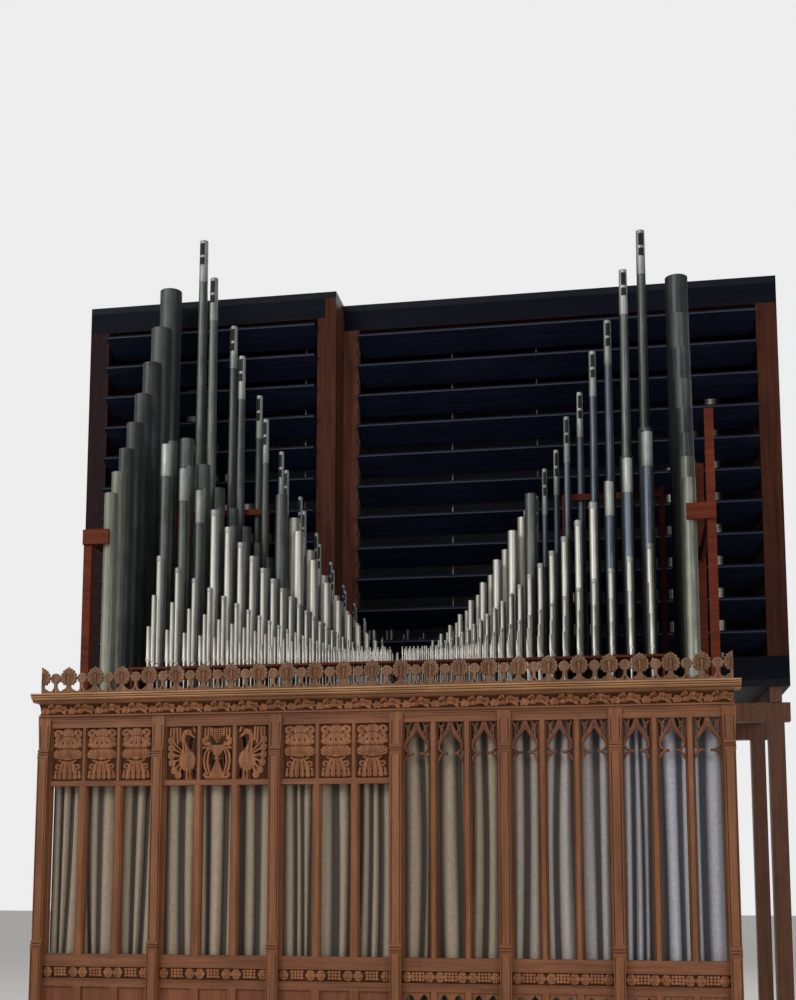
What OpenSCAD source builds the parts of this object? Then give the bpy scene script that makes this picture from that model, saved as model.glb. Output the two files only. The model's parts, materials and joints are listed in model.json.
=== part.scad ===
// Pipe organ: a carved oak screen, open great pipes above it and two banks of swell shades behind them
// X runs along the screen, Y runs back into the organ and Z is up from the floor

/* [Screen] */
// Distance between post centres in the three left bays
left_bay = 645; // [580:5:720]
// Distance between post centres in the three right bays
right_bay = 560; // [500:5:640]
// Width of a screen post
post_w = 57; // [45:1:70]
// Depth of a post's shaft in front of the screen's centre plane
post_front = 48; // [40:1:70]
// Depth of a post behind the screen's centre plane
post_back = 35; // [28:1:60]
// How far each weathered set-off steps a post forward
set_off = 13; // [6:1:20]
// Height of the lower set-off above the floor
low_set_off_z = 1010; // [950:5:1080]
// Height of the upper set-off above the floor
high_set_off_z = 2028; // [1950:5:2080]
// How far a post's head flares on each side
post_flare = 8; // [2:1:11]
// Thickness of the screen's rails
rail_t = 44; // [34:1:52]
// Clear jamb between a post and its first light
jamb = 12; // [6:1:20]
// Width of a mullion
mullion_w = 46; // [30:1:60]
// Width of a mullion's front face
mullion_face = 28; // [16:1:29]
// Depth of a mullion from front to back
mullion_d = 44; // [30:1:52]

/* [Screen levels] */
// Height of the skirting rail
skirt_h = 160; // [100:5:220]
// Height of the lower openings' heads above the floor
lower_top = 820; // [760:5:880]
// Height of the rail over the lower openings
low_head_h = 38; // [28:1:50]
// Height of the carved vine rail
vine_h = 72; // [50:1:90]
// Height of the plain rail under the lights
sill_h = 59; // [40:1:80]
// Height of a full light
light_h = 1201; // [1100:5:1300]
// Height of a carved panel over the left lights
panel_h = 286; // [240:2:330]
// Height of the transom under the carved panels
transom_h = 29; // [20:1:40]
// Height of the rail over the lights
top_rail_h = 34; // [24:1:50]
// Height of the fillets under the frieze
fillet_h = 27; // [18:1:40]
// Height of the hollow frieze
frieze_h = 77; // [60:1:95]
// Height of the cornice moulding
cornice_h = 46; // [36:1:60]

/* [Screen carving] */
// Thickness of a wood panel
panel_t = 16; // [10:1:24]
// Thickness of the tracery in the right lights
tracery_t = 24; // [14:1:34]
// Width of a tracery bar
tracery_bar = 13; // [8:1:18]
// Height of the tracery head in a right light
tracery_h = 196; // [160:2:230]
// Number of tall finials along the cresting
finial_count = 23; // [15:1:27]
// Height of a tall finial
finial_h = 150; // [110:1:170]
// Width of a tall finial
finial_w = 88; // [60:1:96]
// Height of the rosettes between the finials
rosette_z = 117; // [96:1:124]
// Diameter of a rosette
rosette_d = 52; // [40:1:56]
// Depth of the finials' sunk middles
recess_d = 7; // [4:0.5:9]
// Thickness of the cresting
crest_t = 18; // [12:1:26]
// Height of the cresting's base strip
crest_base_h = 14; // [8:1:20]
// How far the cornice stands in front of the screen's centre plane
cornice_out = 92; // [85:1:120]
// How far the cornice runs past the end posts
cornice_end = 34; // [15:1:50]

/* [Curtains] */
// Thickness of the folded curtains
curtain_t = 20; // [12:1:30]
// Clear space between the posts and the curtains
curtain_gap = 7; // [4:1:15]
// Diameter of a curtain rod
rod_d = 12; // [8:1:18]

/* [Great division] */
// Height of the tops of the frame's front beams
frame_h = 2100; // [2040:5:2120]
// Distance from the screen's centre plane to the front of the great chest
chest_y = 430; // [380:5:470]
// Depth of the great chest
chest_d = 1050; // [1040:5:1060]
// Length of the great chest
chest_w = 3120; // [3090:5:3130]
// Height of the bearers under the great chest
bearer_h = 100; // [70:5:130]
// Height of the great chest's box
chest_h = 215; // [160:5:260]
// Thickness of the boards that the pipes stand on
toe_board_h = 30; // [20:1:40]
// Height of the rackboard above the chest
rack_up = 128; // [110:1:135]
// Thickness of the rackboard
rack_t = 13; // [9:1:20]
// Length of the rackboard
rack_w = 3050; // [3030:5:3060]
// Height of a great pipe's foot
foot_h = 185; // [165:1:210]
// Smallest spacing that the channels come down to
small_pitch = 17; // [16:0.5:18]
// Extra spacing of the outermost channels
wide_pitch = 97; // [94:1:99]
// Gap left in the middle of the chest, between the innermost channels, as half of it
middle_gap = 28; // [20:1:32]
// How far the channels stand to the right of the organ's centre
channel_shift = 12; // [0:1:14]
// Ratio between the extra spacings of neighbouring channels
pitch_ratio = 0.895; // [0.89:0.001:0.9]
// Wall thickness of the metal pipes
pipe_wall = 1.4; // [1:0.1:1.6]
// Smallest diameter of a pipe
least_d = 8; // [8:0.5:11]
// Smallest speaking length of a pipe
least_l = 42; // [35:1:60]
// Width of a mouth as a share of its pipe's diameter
mouth_share = 0.7; // [0.6:0.01:0.75]

/* [Great ranks] */
// Notes over which a rank's length halves
halving = 11.2; // [11:0.1:12]
// Notes over which the viola's length halves
viola_halving = 12; // [11:0.1:12.6]
// Length of the first mixture rank's lowest pipe
mixture_a_l = 200; // [160:5:240]
// Diameter of the first mixture rank's lowest pipe
mixture_a_d = 27; // [20:1:34]
// Distance of the first mixture rank behind the chest's front
mixture_a_y = 70; // [60:1:75]
// Length of the second mixture rank's lowest pipe
mixture_b_l = 400; // [340:5:460]
// Diameter of the second mixture rank's lowest pipe
mixture_b_d = 33; // [26:1:40]
// Distance of the second mixture rank behind the chest's front
mixture_b_y = 150; // [140:1:160]
// Length of the lowest fifteenth pipe
fifteenth_l = 655; // [560:5:720]
// Diameter of the lowest fifteenth pipe
fifteenth_d = 42; // [34:1:50]
// Distance of the fifteenth behind the chest's front
fifteenth_y = 235; // [228:1:242]
// Length of the lowest principal pipe
principal_l = 1365; // [1200:5:1450]
// Diameter of the lowest principal pipe
principal_d = 62; // [50:1:74]
// Distance of the principal behind the chest's front
principal_y = 305; // [298:1:312]
// Length of the lowest octave pipe
octave_l = 1415; // [1300:5:1500]
// Diameter of the lowest octave pipe
octave_d = 60; // [50:1:64]
// Distance of the octave behind the chest's front
octave_y = 403; // [398:1:408]
// Length of the lowest stopped flute pipe
flute_l = 1515; // [1350:5:1600]
// Diameter of the lowest stopped flute pipe
flute_d = 92; // [80:1:98]
// Distance of the stopped flute behind the chest's front
flute_y = 675; // [670:1:682]
// Length of an open diapason pipe at low C
diapason_l = 2860; // [2600:10:2900]
// Diameter of an open diapason pipe at low C
diapason_d = 146; // [130:1:148]
// Distance of the diapason's front row behind the chest's front
diapason_y = 478; // [474:1:484]
// Number of diapason pipes that stand on the side chests
bass_count = 16; // [14:2:16]
// Length of the lowest viola pipe
viola_l = 2975; // [2750:5:3050]
// Diameter of the lowest viola pipe at its mouth
viola_d = 88; // [74:1:94]
// Diameter at a viola pipe's top as a share of that at its mouth
viola_taper = 0.62; // [0.5:0.01:0.85]
// Distance of the viola's front row behind the chest's front
viola_y = 825; // [820:1:830]
// Distance between the two rows of the viola
viola_row = 120; // [110:1:125]
// Distance between the two rows of the diapason
diapason_row = 95; // [90:1:98]
// Reach of each viola rail from its post towards the middle
viola_rail_run = 590; // [500:10:640]
// Height of the rails that steady the viola
viola_rail_z = 3690; // [3500:10:3800]

/* [Side basses] */
// Distance of the side basses from the organ's centre
bass_x = 1667; // [1664:1:1680]
// Distance of the smallest side bass behind the screen's centre plane
bass_y = 470; // [460:5:480]
// Gap between neighbouring side basses
bass_gap = 26; // [20:1:30]
// Height of a bass chest
bass_chest_h = 140; // [100:5:170]
// Width of a bass chest
bass_chest_w = 180; // [160:5:186]
// Rise of the right rack's posts over their bar
bass_post_rise = 620; // [400:10:700]
// Height of the bar that steadies the side basses
bass_rail_z = 3310; // [3200:10:3350]

/* [Swell box] */
// Width of the swell box
swell_w = 4660; // [4620:5:4800]
// Distance of the left front from the screen's centre plane
left_front_y = 1650; // [1640:5:1680]
// Distance of the right front from the screen's centre plane
right_front_y = 1900; // [1850:5:1960]
// Distance of the box's back from the screen's centre plane
swell_back_y = 3400; // [3300:10:3500]
// Thickness of the box's boards
board_t = 45; // [32:1:55]
// Height of the box's underside
swell_z = 2580; // [2560:5:2600]
// Where the right front starts, from the organ's centre
step_x = -600; // [-640:1:-560]
// Width of the stiles at the outer ends of the fronts
outer_stile = 134; // [110:1:160]
// Width of the stiles at the step between the fronts
inner_stile = 107; // [80:1:130]
// Depth of the fronts' stiles and rails
front_d = 60; // [50:1:75]
// Height of the rail under the shades
swell_sill_h = 148; // [120:1:180]
// Height of the header over the shades
header_h = 140; // [120:1:200]
// Depth of the chest inside the box
swell_chest_d = 560; // [540:5:600]
// Distance of that chest from the box's back board
swell_chest_back = 200; // [150:5:240]
// Height of that chest
swell_chest_h = 210; // [180:5:240]
// Length of the lowest pipe of the swell's short rank
swell_short_l = 900; // [800:10:1000]
// Diameter of the lowest pipe of the swell's short rank
swell_short_d = 66; // [56:1:76]
// Length of the lowest pipe of the swell's middle rank
swell_middle_l = 1500; // [1350:10:1600]
// Diameter of the lowest pipe of the swell's middle rank
swell_middle_d = 90; // [78:1:100]
// Length of the lowest pipe of the swell's long rank
swell_long_l = 2200; // [2000:10:2300]
// Diameter of the lowest pipe of the swell's long rank
swell_long_d = 120; // [106:1:128]
// Height of a swell pipe's foot
swell_foot_h = 150; // [130:1:170]

/* [Swell shades] */
// Number of shades in a front
shade_count = 11; // [9:1:11]
// Distance between the pivots of neighbouring shades
shade_pitch = 214; // [205:1:225]
// Running gap between neighbouring shades when they are shut
shade_gap = 6.5; // [6:0.5:12]
// Thickness of a shade
shade_t = 24; // [18:1:26]
// Diameter of a shade's pivot pins
pin_d = 14; // [10:1:18]
// Length of a pivot pin in its stile
pin_l = 22; // [14:1:30]
// Running clearance round a pivot pin
pin_play = 0.6; // [0.3:0.1:1]
// Running gap between a shade's ends and the stiles
end_gap = 6; // [5:0.5:10]
// Angle at which the shades stand open
open_angle = 60; // [0:1:70]
// Diameter of the vertical stay rods
stay_d = 12; // [8:1:16]
// Distance of the stay rods behind the pivots
stay_back = 128; // [122:1:140]
// Distance of the left front's stay rod from the step
left_stay_run = 221; // [180:1:260]
// Distance of the right front's first stay rod from the step
right_stay_run = 757; // [700:1:800]
// Distance between the right front's two stay rods
stay_pitch = 583; // [540:1:620]

/* [Frame and wind] */
// Width of a frame post under the great
frame_post = 75; // [60:1:90]
// Width of a frame post under the swell box
swell_post = 100; // [80:1:120]
// Height of the frame's beams
beam_h = 100; // [80:1:120]
// Height of the joists under the swell box
joist_h = 100; // [80:1:120]
// Width of the reservoir
reservoir_w = 1500; // [1200:10:1600]
// Depth of the reservoir
reservoir_d = 800; // [600:10:820]
// Height of the filled reservoir above its legs
reservoir_h = 420; // [360:5:480]
// Height of the reservoir's legs
reservoir_leg = 240; // [180:5:300]
// Width of a wind trunk
trunk_w = 180; // [150:5:210]

// Width of the glue line between the pieces of one frame
joint_gap = 0.3; // [0.2:0.05:0.5]

/* [Hidden] */
$fn = 48;
shade_nodes = [for (side = ["left", "right"], i = [1 : shade_count]) shade_name(side, i)];
oak = "#8c5f41";
red_oak = "#704029";
crest_oak = "#82694f";
gilt_oak = "#af8c5f";
cloth = "#8a8078";
spotted_metal = "#c8c8b9";
zinc = "#50555a";
rack_pine = "#96412a";
box_black = "#14141f";

// Levels of the screen
vine_z = lower_top + low_head_h;
sill_z = vine_z + vine_h;
light_z = sill_z + sill_h;
head_z = light_z + light_h;
panel_z = head_z - panel_h;
transom_z = panel_z - transom_h;
fillet_z = head_z + top_rail_h;
frieze_z = fillet_z + fillet_h;
cornice_z = frieze_z + frieze_h;
crest_z = cornice_z + cornice_h;
set_off_h = 42;

// Bays and lights of the screen
bay_count = 6;
lights = 3;
row_w = 3 * left_bay + 3 * right_bay;
screen_half = (row_w + post_w) / 2;
function post_x(i) = -row_w / 2 + min(i, 3) * left_bay + max(i - 3, 0) * right_bay;
function bay_w(i) = post_x(i + 1) - post_x(i);
function is_left(i) = i < 3;
function light_w(i) = (bay_w(i) - post_w - 2 * jamb - (lights - 1) * mullion_w) / lights;
function light_x(i, j) = post_x(i) + post_w / 2 + jamb + light_w(i) / 2 + j * (light_w(i) + mullion_w);
function mullion_x(i, j) = light_x(i, j) + (light_w(i) + mullion_w) / 2;
curtain_y = post_back + curtain_gap + curtain_t / 2;
rod_z = head_z + top_rail_h / 2;
low_rod_z = lower_top + low_head_h / 2;

// Channels of the great chest: the longest pipes stand at the two ends
notes = 61;
last_step = floor(notes / 2);
function step_pitch(k) = small_pitch + wide_pitch * pow(pitch_ratio, k);
function side_x(k) = step_pitch(last_step) / 2 + small_pitch * (last_step - k)
    + wide_pitch * (pow(pitch_ratio, k) - pow(pitch_ratio, last_step)) / (1 - pitch_ratio);
function channel_x(n) = channel_shift + (n % 2 == 0 ? -1 : 1) * (middle_gap + side_x(floor(n / 2)));
function pipe_l(low, n, half) = max(low * pow(2, -n / half), least_l);
function pipe_d(low, n) = max(low * pow(2, -n / 16), least_d);
function zigzag(n, row) = (floor(n / 2) % 2) * row;
chest_z = frame_h + bearer_h;
toe_z = chest_z + chest_h + toe_board_h;
rack_z = toe_z + rack_up;
pillar_d = 16;

// Side basses: half of them stand on each side
bass_toe_z = frame_h + bass_chest_h;
function bass_side(n) = n % 2 == 0 ? -1 : 1;
function bass_run(n) = n >= bass_count - 2 ? 0
    : bass_run(n + 2) + bass_gap + (pipe_d(diapason_d, n) + pipe_d(diapason_d, n + 2)) / 2;
bass_row = bass_run(0);

// Swell box
swell_floor_z = swell_z + board_t;
shade_z = swell_floor_z + swell_sill_h;
shades_h = shade_count * shade_pitch;
header_z = shade_z + shades_h;
roof_z = header_z + header_h;
swell_half = swell_w / 2;
return_t = 21;
shade_w = shade_pitch - shade_gap;
function front_y(side) = side == "left" ? left_front_y : right_front_y;
function pivot_y(side) = front_y(side) + front_d / 2;
function pivot_z(i) = shade_z + (i - 0.5) * shade_pitch;
function louvre_from(side) = side == "left" ? -swell_half + outer_stile : step_x + return_t + inner_stile;
function louvre_to(side) = side == "left" ? step_x - inner_stile : swell_half - outer_stile;
function shade_name(side, i) = str("shade_", side, i < 10 ? "_0" : "_", i);

// The origin lies on the floor, under the middle of the whole organ
front_edge = -cornice_out;
back_edge = swell_back_y;
module placed() { translate([0, -(front_edge + back_edge) / 2, 0]) children(); }
module box(x0, x1, y0, y1, z0, z1) { translate([x0, y0, z0]) cube([x1 - x0, y1 - y0, z1 - z0]); }

// An outline drawn across the screen, as an upright slab between two depths
module upright(y0, y1) { translate([0, y1, 0]) rotate([90, 0, 0]) linear_extrude(y1 - y0) children(); }

// A moulding's section, with Y to its right and Z up, run along X
module run(x0, x1) {
    translate([x0, 0, 0]) rotate([90, 0, 90]) linear_extrude(x1 - x0) children();
}

// Points of a curve between two ends with two handles
function curve(a, b, c, d, n = 6) = [for (i = [0 : n]) let (t = i / n, s = 1 - t)
    s * s * s * a + 3 * s * s * t * b + 3 * s * t * t * c + t * t * t * d];
function across(p, q) = let (v = q - p) [-v[1], v[0]] / norm(v);
function side_of(p, i) = across(p[max(i - 1, 0)], p[min(i + 1, len(p) - 1)]);
function offset_line(p, d) = [for (i = [0 : len(p) - 1]) p[i] + d * side_of(p, i)];
function turned(p) = [for (i = [len(p) - 1 : -1 : 0]) p[i]];

// A bar of even width along a curve
module bar(p, w) { polygon(concat(offset_line(p, w / 2), turned(offset_line(p, -w / 2)))); }

// Screen posts with weathered set-offs, like small buttresses
module post_section() {
    low = post_front + set_off;
    top = post_front - set_off;
    polygon([
        [post_back, 0], [-low, 0], [-low, low_set_off_z],
        [-low + set_off / 3, low_set_off_z + set_off_h / 3], [-low + set_off / 2, low_set_off_z + set_off_h / 3],
        [-post_front - set_off / 6, low_set_off_z + 2 * set_off_h / 3], [-post_front, low_set_off_z + set_off_h],
        [-post_front, high_set_off_z],
        [-post_front + set_off / 3, high_set_off_z + set_off_h / 3], [-post_front + set_off / 2, high_set_off_z + set_off_h / 3],
        [-top - set_off / 6, high_set_off_z + 2 * set_off_h / 3], [-top, high_set_off_z + set_off_h],
        [-top, frieze_z], [post_back, frieze_z]
    ]);
}
module post_head(x) {
    z = high_set_off_z + set_off_h;
    top = post_front - set_off;
    upright(-top, -rail_t / 2) polygon([
        [x - post_w / 2, z], [x + post_w / 2, z],
        [x + post_w / 2 + post_flare, frieze_z], [x - post_w / 2 - post_flare, frieze_z]
    ]);
}
module screen_posts() {
    color(oak) placed() for (i = [0 : bay_count]) union() {
        run(post_x(i) - post_w / 2, post_x(i) + post_w / 2) post_section();
        post_head(post_x(i));
    }
}

// Rails between the posts: skirting, lower head, sill, transom and top
module bay_rail(i, z0, z1, t = rail_t) {
    box(post_x(i) + post_w / 2, post_x(i + 1) - post_w / 2, -t / 2, t / 2, z0, z1);
}
module screen_rails() {
    color(oak) placed() for (i = [0 : bay_count - 1]) {
        bay_rail(i, 0, skirt_h);
        bay_rail(i, lower_top, vine_z);
        bay_rail(i, sill_z, light_z);
        if (is_left(i)) bay_rail(i, transom_z, panel_z);
        bay_rail(i, head_z, fillet_z);
    }
}
module vine_rail() {
    hollow = 10;
    color(oak) placed() for (i = [0 : bay_count - 1])
        run(post_x(i) + post_w / 2, post_x(i + 1) - post_w / 2) polygon([
            [rail_t / 2, vine_z], [-rail_t / 2 - 4, vine_z], [-rail_t / 2 - 4, vine_z + hollow],
            [-rail_t / 2 + hollow, vine_z + 2 * hollow], [-rail_t / 2 + hollow, sill_z - 2 * hollow],
            [-rail_t / 2 - 4, sill_z - hollow], [-rail_t / 2 - 4, sill_z], [rail_t / 2, sill_z]
        ]);
}

// Boarded panels under the left bays, between short muntins
module lower_panels() {
    color(red_oak) placed() for (i = [0 : 2]) union() {
        bay_rail(i, skirt_h, lower_top, panel_t);
        for (j = [0 : 1]) box(mullion_x(i, j) - mullion_w / 2, mullion_x(i, j) + mullion_w / 2,
            -rail_t / 2, rail_t / 2, skirt_h, lower_top);
    }
}

// A mullion's section has a flat face and splayed edges
module mullion(x, z0, z1) {
    splay = (mullion_w - mullion_face) / 2;
    translate([x, 0, z0]) linear_extrude(z1 - z0) polygon([
        [-mullion_face / 2, -mullion_d / 2], [mullion_face / 2, -mullion_d / 2],
        [mullion_w / 2, -mullion_d / 2 + 1.4 * splay], [mullion_w / 2, mullion_d / 2],
        [-mullion_w / 2, mullion_d / 2], [-mullion_w / 2, -mullion_d / 2 + 1.4 * splay]
    ]);
}
module jambs(i, z0, z1) {
    for (x = [post_x(i) + post_w / 2, post_x(i + 1) - post_w / 2 - jamb])
        box(x, x + jamb, -mullion_d / 2 + 12, mullion_d / 2, z0, z1);
}
module panel_lights() {
    color(oak) placed() for (i = [0 : 2]) {
        for (j = [0 : 1]) mullion(mullion_x(i, j), light_z, transom_z);
        jambs(i, light_z, transom_z);
    }
}

// Carved panels: the middle bay's are pierced round a pair of facing birds and a cup
module pierced(w, h) {
    r = w / 7;
    for (s = [-1, 1]) {
        translate([s * w * 0.3, h * 0.16]) circle(r);
        translate([s * w * 0.3, h * 0.84]) circle(r);
        translate([s * w * 0.32, h * 0.5]) circle(r * 0.8);
    }
    translate([0, h * 0.72]) circle(r * 0.8);
    translate([0, h * 0.3]) circle(r * 0.7);
}
module carved_panel(i, j) {
    w = light_w(i);
    translate([light_x(i, j), 0, panel_z]) upright(-panel_t / 2, panel_t / 2) difference() {
        translate([-w / 2, 0]) square([w, panel_h]);
        if (i == 1) pierced(w, panel_h);
    }
}
module carved_panels() {
    color(oak) placed() for (i = [0 : 2]) {
        for (j = [0 : 2]) carved_panel(i, j);
        for (j = [0 : 1]) mullion(mullion_x(i, j), panel_z, head_z);
        jambs(i, panel_z, head_z);
    }
}

// An ogee head: two S bars from the jambs to the apex, with a cusped lobe under each
module ogee_half(w, h) {
    r = w / 2;
    spring = -0.56 * h;
    tip = [0.46 * r, -0.83 * h];
    bar(curve([0, 0], [0.12 * r, -0.2 * h], [r, -0.22 * h], [r, spring]), tracery_bar);
    bar(curve([r, spring], [r, spring - 0.16 * h], [0.62 * r, -0.7 * h], tip), tracery_bar * 0.8);
    bar(curve([0.55 * r, -0.84 * h], [0.8 * r, -0.8 * h], [0.98 * r, -0.88 * h], [r, -h]), tracery_bar * 0.8);
    translate(tip) circle(tracery_bar * 0.5);
}
module ogee_head(w, h) {
    for (s = [0, 1]) mirror([s, 0]) intersection() {
        ogee_half(w, h);
        translate([-tracery_bar / 2, -1.1 * h]) square([w / 2 + tracery_bar / 2, 1.1 * h]);
    }
}
module tracery_lights() {
    color(oak) placed() for (i = [3 : 5]) {
        for (j = [0 : 1]) mullion(mullion_x(i, j), light_z, head_z);
        jambs(i, light_z, head_z);
        for (j = [0 : 2]) translate([light_x(i, j), 0, head_z])
            upright(-tracery_t / 2, tracery_t / 2) ogee_head(light_w(i), tracery_h);
    }
}

// Lower lights of the right bays: each is split by a thin bar under two small arches
module small_arch(w) {
    rise = 0.9 * w;
    difference() {
        translate([-w / 2, -rise]) square([w, rise]);
        translate([0, -rise]) polygon(concat(
            [[-w / 2 + 6, -1]],
            curve([-w / 2 + 6, 0], [-w / 2 + 6, rise * 0.55], [-w * 0.12, rise * 0.62], [0, rise - 10]),
            curve([0, rise - 10], [w * 0.12, rise * 0.62], [w / 2 - 6, rise * 0.55], [w / 2 - 6, 0]),
            [[w / 2 - 6, -1]]
        ));
    }
}
module lower_tracery() {
    thin = 14;
    color(oak) placed() for (i = [3 : 5]) {
        for (j = [0 : 1]) mullion(mullion_x(i, j), skirt_h, lower_top);
        jambs(i, skirt_h, lower_top);
        for (j = [0 : 2]) {
            w = light_w(i);
            box(light_x(i, j) - thin / 2, light_x(i, j) + thin / 2, -tracery_t / 2, tracery_t / 2, skirt_h, lower_top);
            for (s = [-1, 1]) translate([light_x(i, j) + s * (w + thin) / 4, 0, lower_top])
                upright(-tracery_t / 2, tracery_t / 2) small_arch((w - thin) / 2);
        }
    }
}

// Frieze, cornice and cresting run the whole length of the screen
module frieze_board() {
    lip = post_front - set_off;
    deep = rail_t / 2;
    color(oak) placed() union() {
        run(-screen_half, screen_half) polygon([
            [post_back, frieze_z], [-lip - 14, frieze_z], [-lip - 14, frieze_z + 8],
            [-lip, frieze_z + 8], [-deep, frieze_z + frieze_h * 0.3], [-deep, frieze_z + frieze_h * 0.55],
            [-lip - 10, frieze_z + frieze_h * 0.86], [-lip - 22, cornice_z], [post_back, cornice_z]
        ]);
        for (i = [0 : bay_count - 1]) run(post_x(i) + post_w / 2 + post_flare, post_x(i + 1) - post_w / 2 - post_flare) polygon([
            [post_back, fillet_z], [-deep - 4, fillet_z], [-deep - 4, fillet_z + fillet_h * 0.4],
            [-deep - 10, fillet_z + fillet_h * 0.5], [-deep - 10, frieze_z], [post_back, frieze_z]
        ]);
    }
}
module cornice() {
    lip = post_front - set_off + 22;
    end = screen_half + cornice_end;
    color(gilt_oak) placed() run(-end, end) polygon(concat(
        [[post_back, cornice_z], [-lip, cornice_z]],
        curve([-lip - 6, cornice_z + 8], [-lip - 8, cornice_z + 20], [-cornice_out + 8, cornice_z + 16],
            [-cornice_out + 6, cornice_z + 28], 5),
        [[-cornice_out, cornice_z + 28], [-cornice_out, crest_z - 5], [-cornice_out + 6, crest_z], [post_back, crest_z]]
    ));
}
function lobe(c, r, a0, a1, n = 4) = [for (i = [0 : n]) let (a = a0 + (a1 - a0) * i / n) c + r * [cos(a), sin(a)]];
function mirrored(p) = [for (i = [len(p) - 1 : -1 : 0]) [-p[i][0], p[i][1]]];
crest_y = -rail_t / 2;

// A tall finial is a leafy wreath on a splayed foot, with a drop hanging in its sunk middle
function finial_half(r, h) = concat(
    [[r * 0.96, 0], [r * 0.86, h * 0.05], [r * 0.5, h * 0.09], [r * 0.37, h * 0.18]],
    lobe([r * 0.6, h * 0.31], r * 0.2, -90, 50, 3),
    lobe([r * 0.77, h * 0.45], r * 0.21, -50, 60, 3),
    lobe([r * 0.75, h * 0.61], r * 0.21, -30, 80, 3),
    lobe([r * 0.57, h * 0.75], r * 0.2, -10, 100, 3),
    lobe([r * 0.3, h * 0.86], r * 0.17, 0, 110, 3),
    [[r * 0.09, h * 0.95]]
);
function crest_level(gap) = crest_z + crest_base_h + gap;
module crest_piece(x, half, h) {
    translate([x, 0, crest_level(joint_gap)]) upright(crest_y - crest_t / 2, crest_y + crest_t / 2)
        polygon(concat(half, [[0, h]], mirrored(half)));
}
module finial(x) {
    r = finial_w / 2;
    h = finial_h - crest_base_h;
    drop = r * 0.15;
    difference() {
        crest_piece(x, finial_half(r, h), h);
        translate([x, 0, crest_level(h * 0.58)]) difference() {
            upright(crest_y - crest_t, crest_y - crest_t / 2 + recess_d)
                polygon(concat([[0, -h * 0.34], [r * 0.2, -h * 0.2]], lobe([0, 0], r * 0.46, -35, 215, 9), [[-r * 0.2, -h * 0.2]]));
            upright(crest_y - crest_t - 1, crest_y)
                polygon(concat(lobe([0, -r * 0.05], drop, -200, 20, 8), [[r * 0.05, r * 0.5], [-r * 0.05, r * 0.5]]));
        }
    }
}

// A rosette is a round boss on a stem with a splayed foot
module rosette(x) {
    r = rosette_d / 2;
    up = rosette_z - crest_base_h;
    crest_piece(x, concat([[r * 1.05, 0], [r * 0.5, up * 0.1], [r * 0.3, up * 0.28], [r * 0.4, up - 1.9 * r]],
        lobe([0, up - r], r, -55, 80, 6)), up);
}
module cresting() {
    pitch = 2 * screen_half / (finial_count + 1);
    color(crest_oak) placed() {
        box(-screen_half, screen_half, crest_y - crest_t / 2, crest_y + crest_t / 2, crest_z, crest_z + crest_base_h);
        for (k = [1 : finial_count]) finial(-screen_half + k * pitch);
        for (k = [0 : finial_count]) rosette(-screen_half + (k + 0.5) * pitch);
    }
}

// Curtains hang on rods behind the screen's openings
module upper_curtains() {
    color(cloth) placed() for (i = [0 : bay_count - 1])
        box(post_x(i) + 20, post_x(i + 1) - 20, curtain_y - curtain_t / 2, curtain_y + curtain_t / 2,
            sill_z, rod_z - rod_d / 2 - 0.3);
}
module lower_curtains() {
    color(cloth) placed() for (i = [3 : 5])
        box(post_x(i) + 20, post_x(i + 1) - 20, curtain_y - curtain_t / 2, curtain_y + curtain_t / 2,
            skirt_h - 20, low_rod_z - rod_d / 2 - 0.3);
}
module curtain_rod(i0, i1, z) {
    arm = 14;
    translate([post_x(i0), curtain_y, z]) rotate([0, 90, 0]) cylinder(d = rod_d, h = post_x(i1) - post_x(i0));
    for (i = [i0 : i1]) box(post_x(i) - arm / 2, post_x(i) + arm / 2, post_back, curtain_y + rod_d / 2 + 3,
        z - arm / 2, z + arm / 2);
}
module curtain_rods() {
    color("goldenrod") placed() {
        curtain_rod(0, bay_count, rod_z);
        curtain_rod(3, bay_count, low_rod_z);
    }
}

// The timber frame carries the great chest in front and the swell box behind
frame_x = [-screen_half + 120, -580, 580, screen_half - 120];
front_beam_y = chest_y + frame_post / 2;
back_beam_y = chest_y + chest_d - frame_post / 2;
swell_beam_y = [right_front_y + 90, swell_back_y - 110];
swell_post_x = [-swell_half + 90, -750, 750, swell_half - 90];
joist_x = [-swell_half + 90, -1500, -750, 0, 750, 1500, swell_half - 90];
joist_z = swell_z - joist_h;
swell_beam_z = joist_z - beam_h - 20;
module frame_posts() {
    for (x = frame_x, y = [front_beam_y, back_beam_y])
        box(x - frame_post / 2, x + frame_post / 2, y - frame_post / 2, y + frame_post / 2,
            0, frame_h - beam_h - joint_gap);
    for (x = swell_post_x, y = swell_beam_y)
        box(x - swell_post / 2, x + swell_post / 2, y - swell_post / 2, y + swell_post / 2,
            0, swell_beam_z - joint_gap);
}
module frame_beams() {
    for (y = [front_beam_y, back_beam_y])
        box(-screen_half, screen_half, y - frame_post / 2, y + frame_post / 2, frame_h - beam_h, frame_h);
    for (y = swell_beam_y)
        box(-swell_half, swell_half, y - swell_post / 2, y + swell_post / 2, swell_beam_z, joist_z - joint_gap);
    for (x = joist_x)
        box(x - frame_post / 2, x + frame_post / 2, (x < step_x ? left_front_y : right_front_y) + 20,
            swell_back_y - 20, joist_z, swell_z);
}
// Ties pass between the curtains and hold the screen's posts to the frame's front beam
tie_w = 34;
module screen_ties() {
    for (i = [0 : 2 : bay_count])
        box(post_x(i) - tie_w / 2, post_x(i) + tie_w / 2, post_back, front_beam_y - frame_post / 2 - joint_gap,
            frame_h - beam_h + 10, frame_h - 10);
}
module building_frame() {
    color("#7a4a2c") placed() {
        frame_posts();
        frame_beams();
        screen_ties();
    }
}

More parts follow.
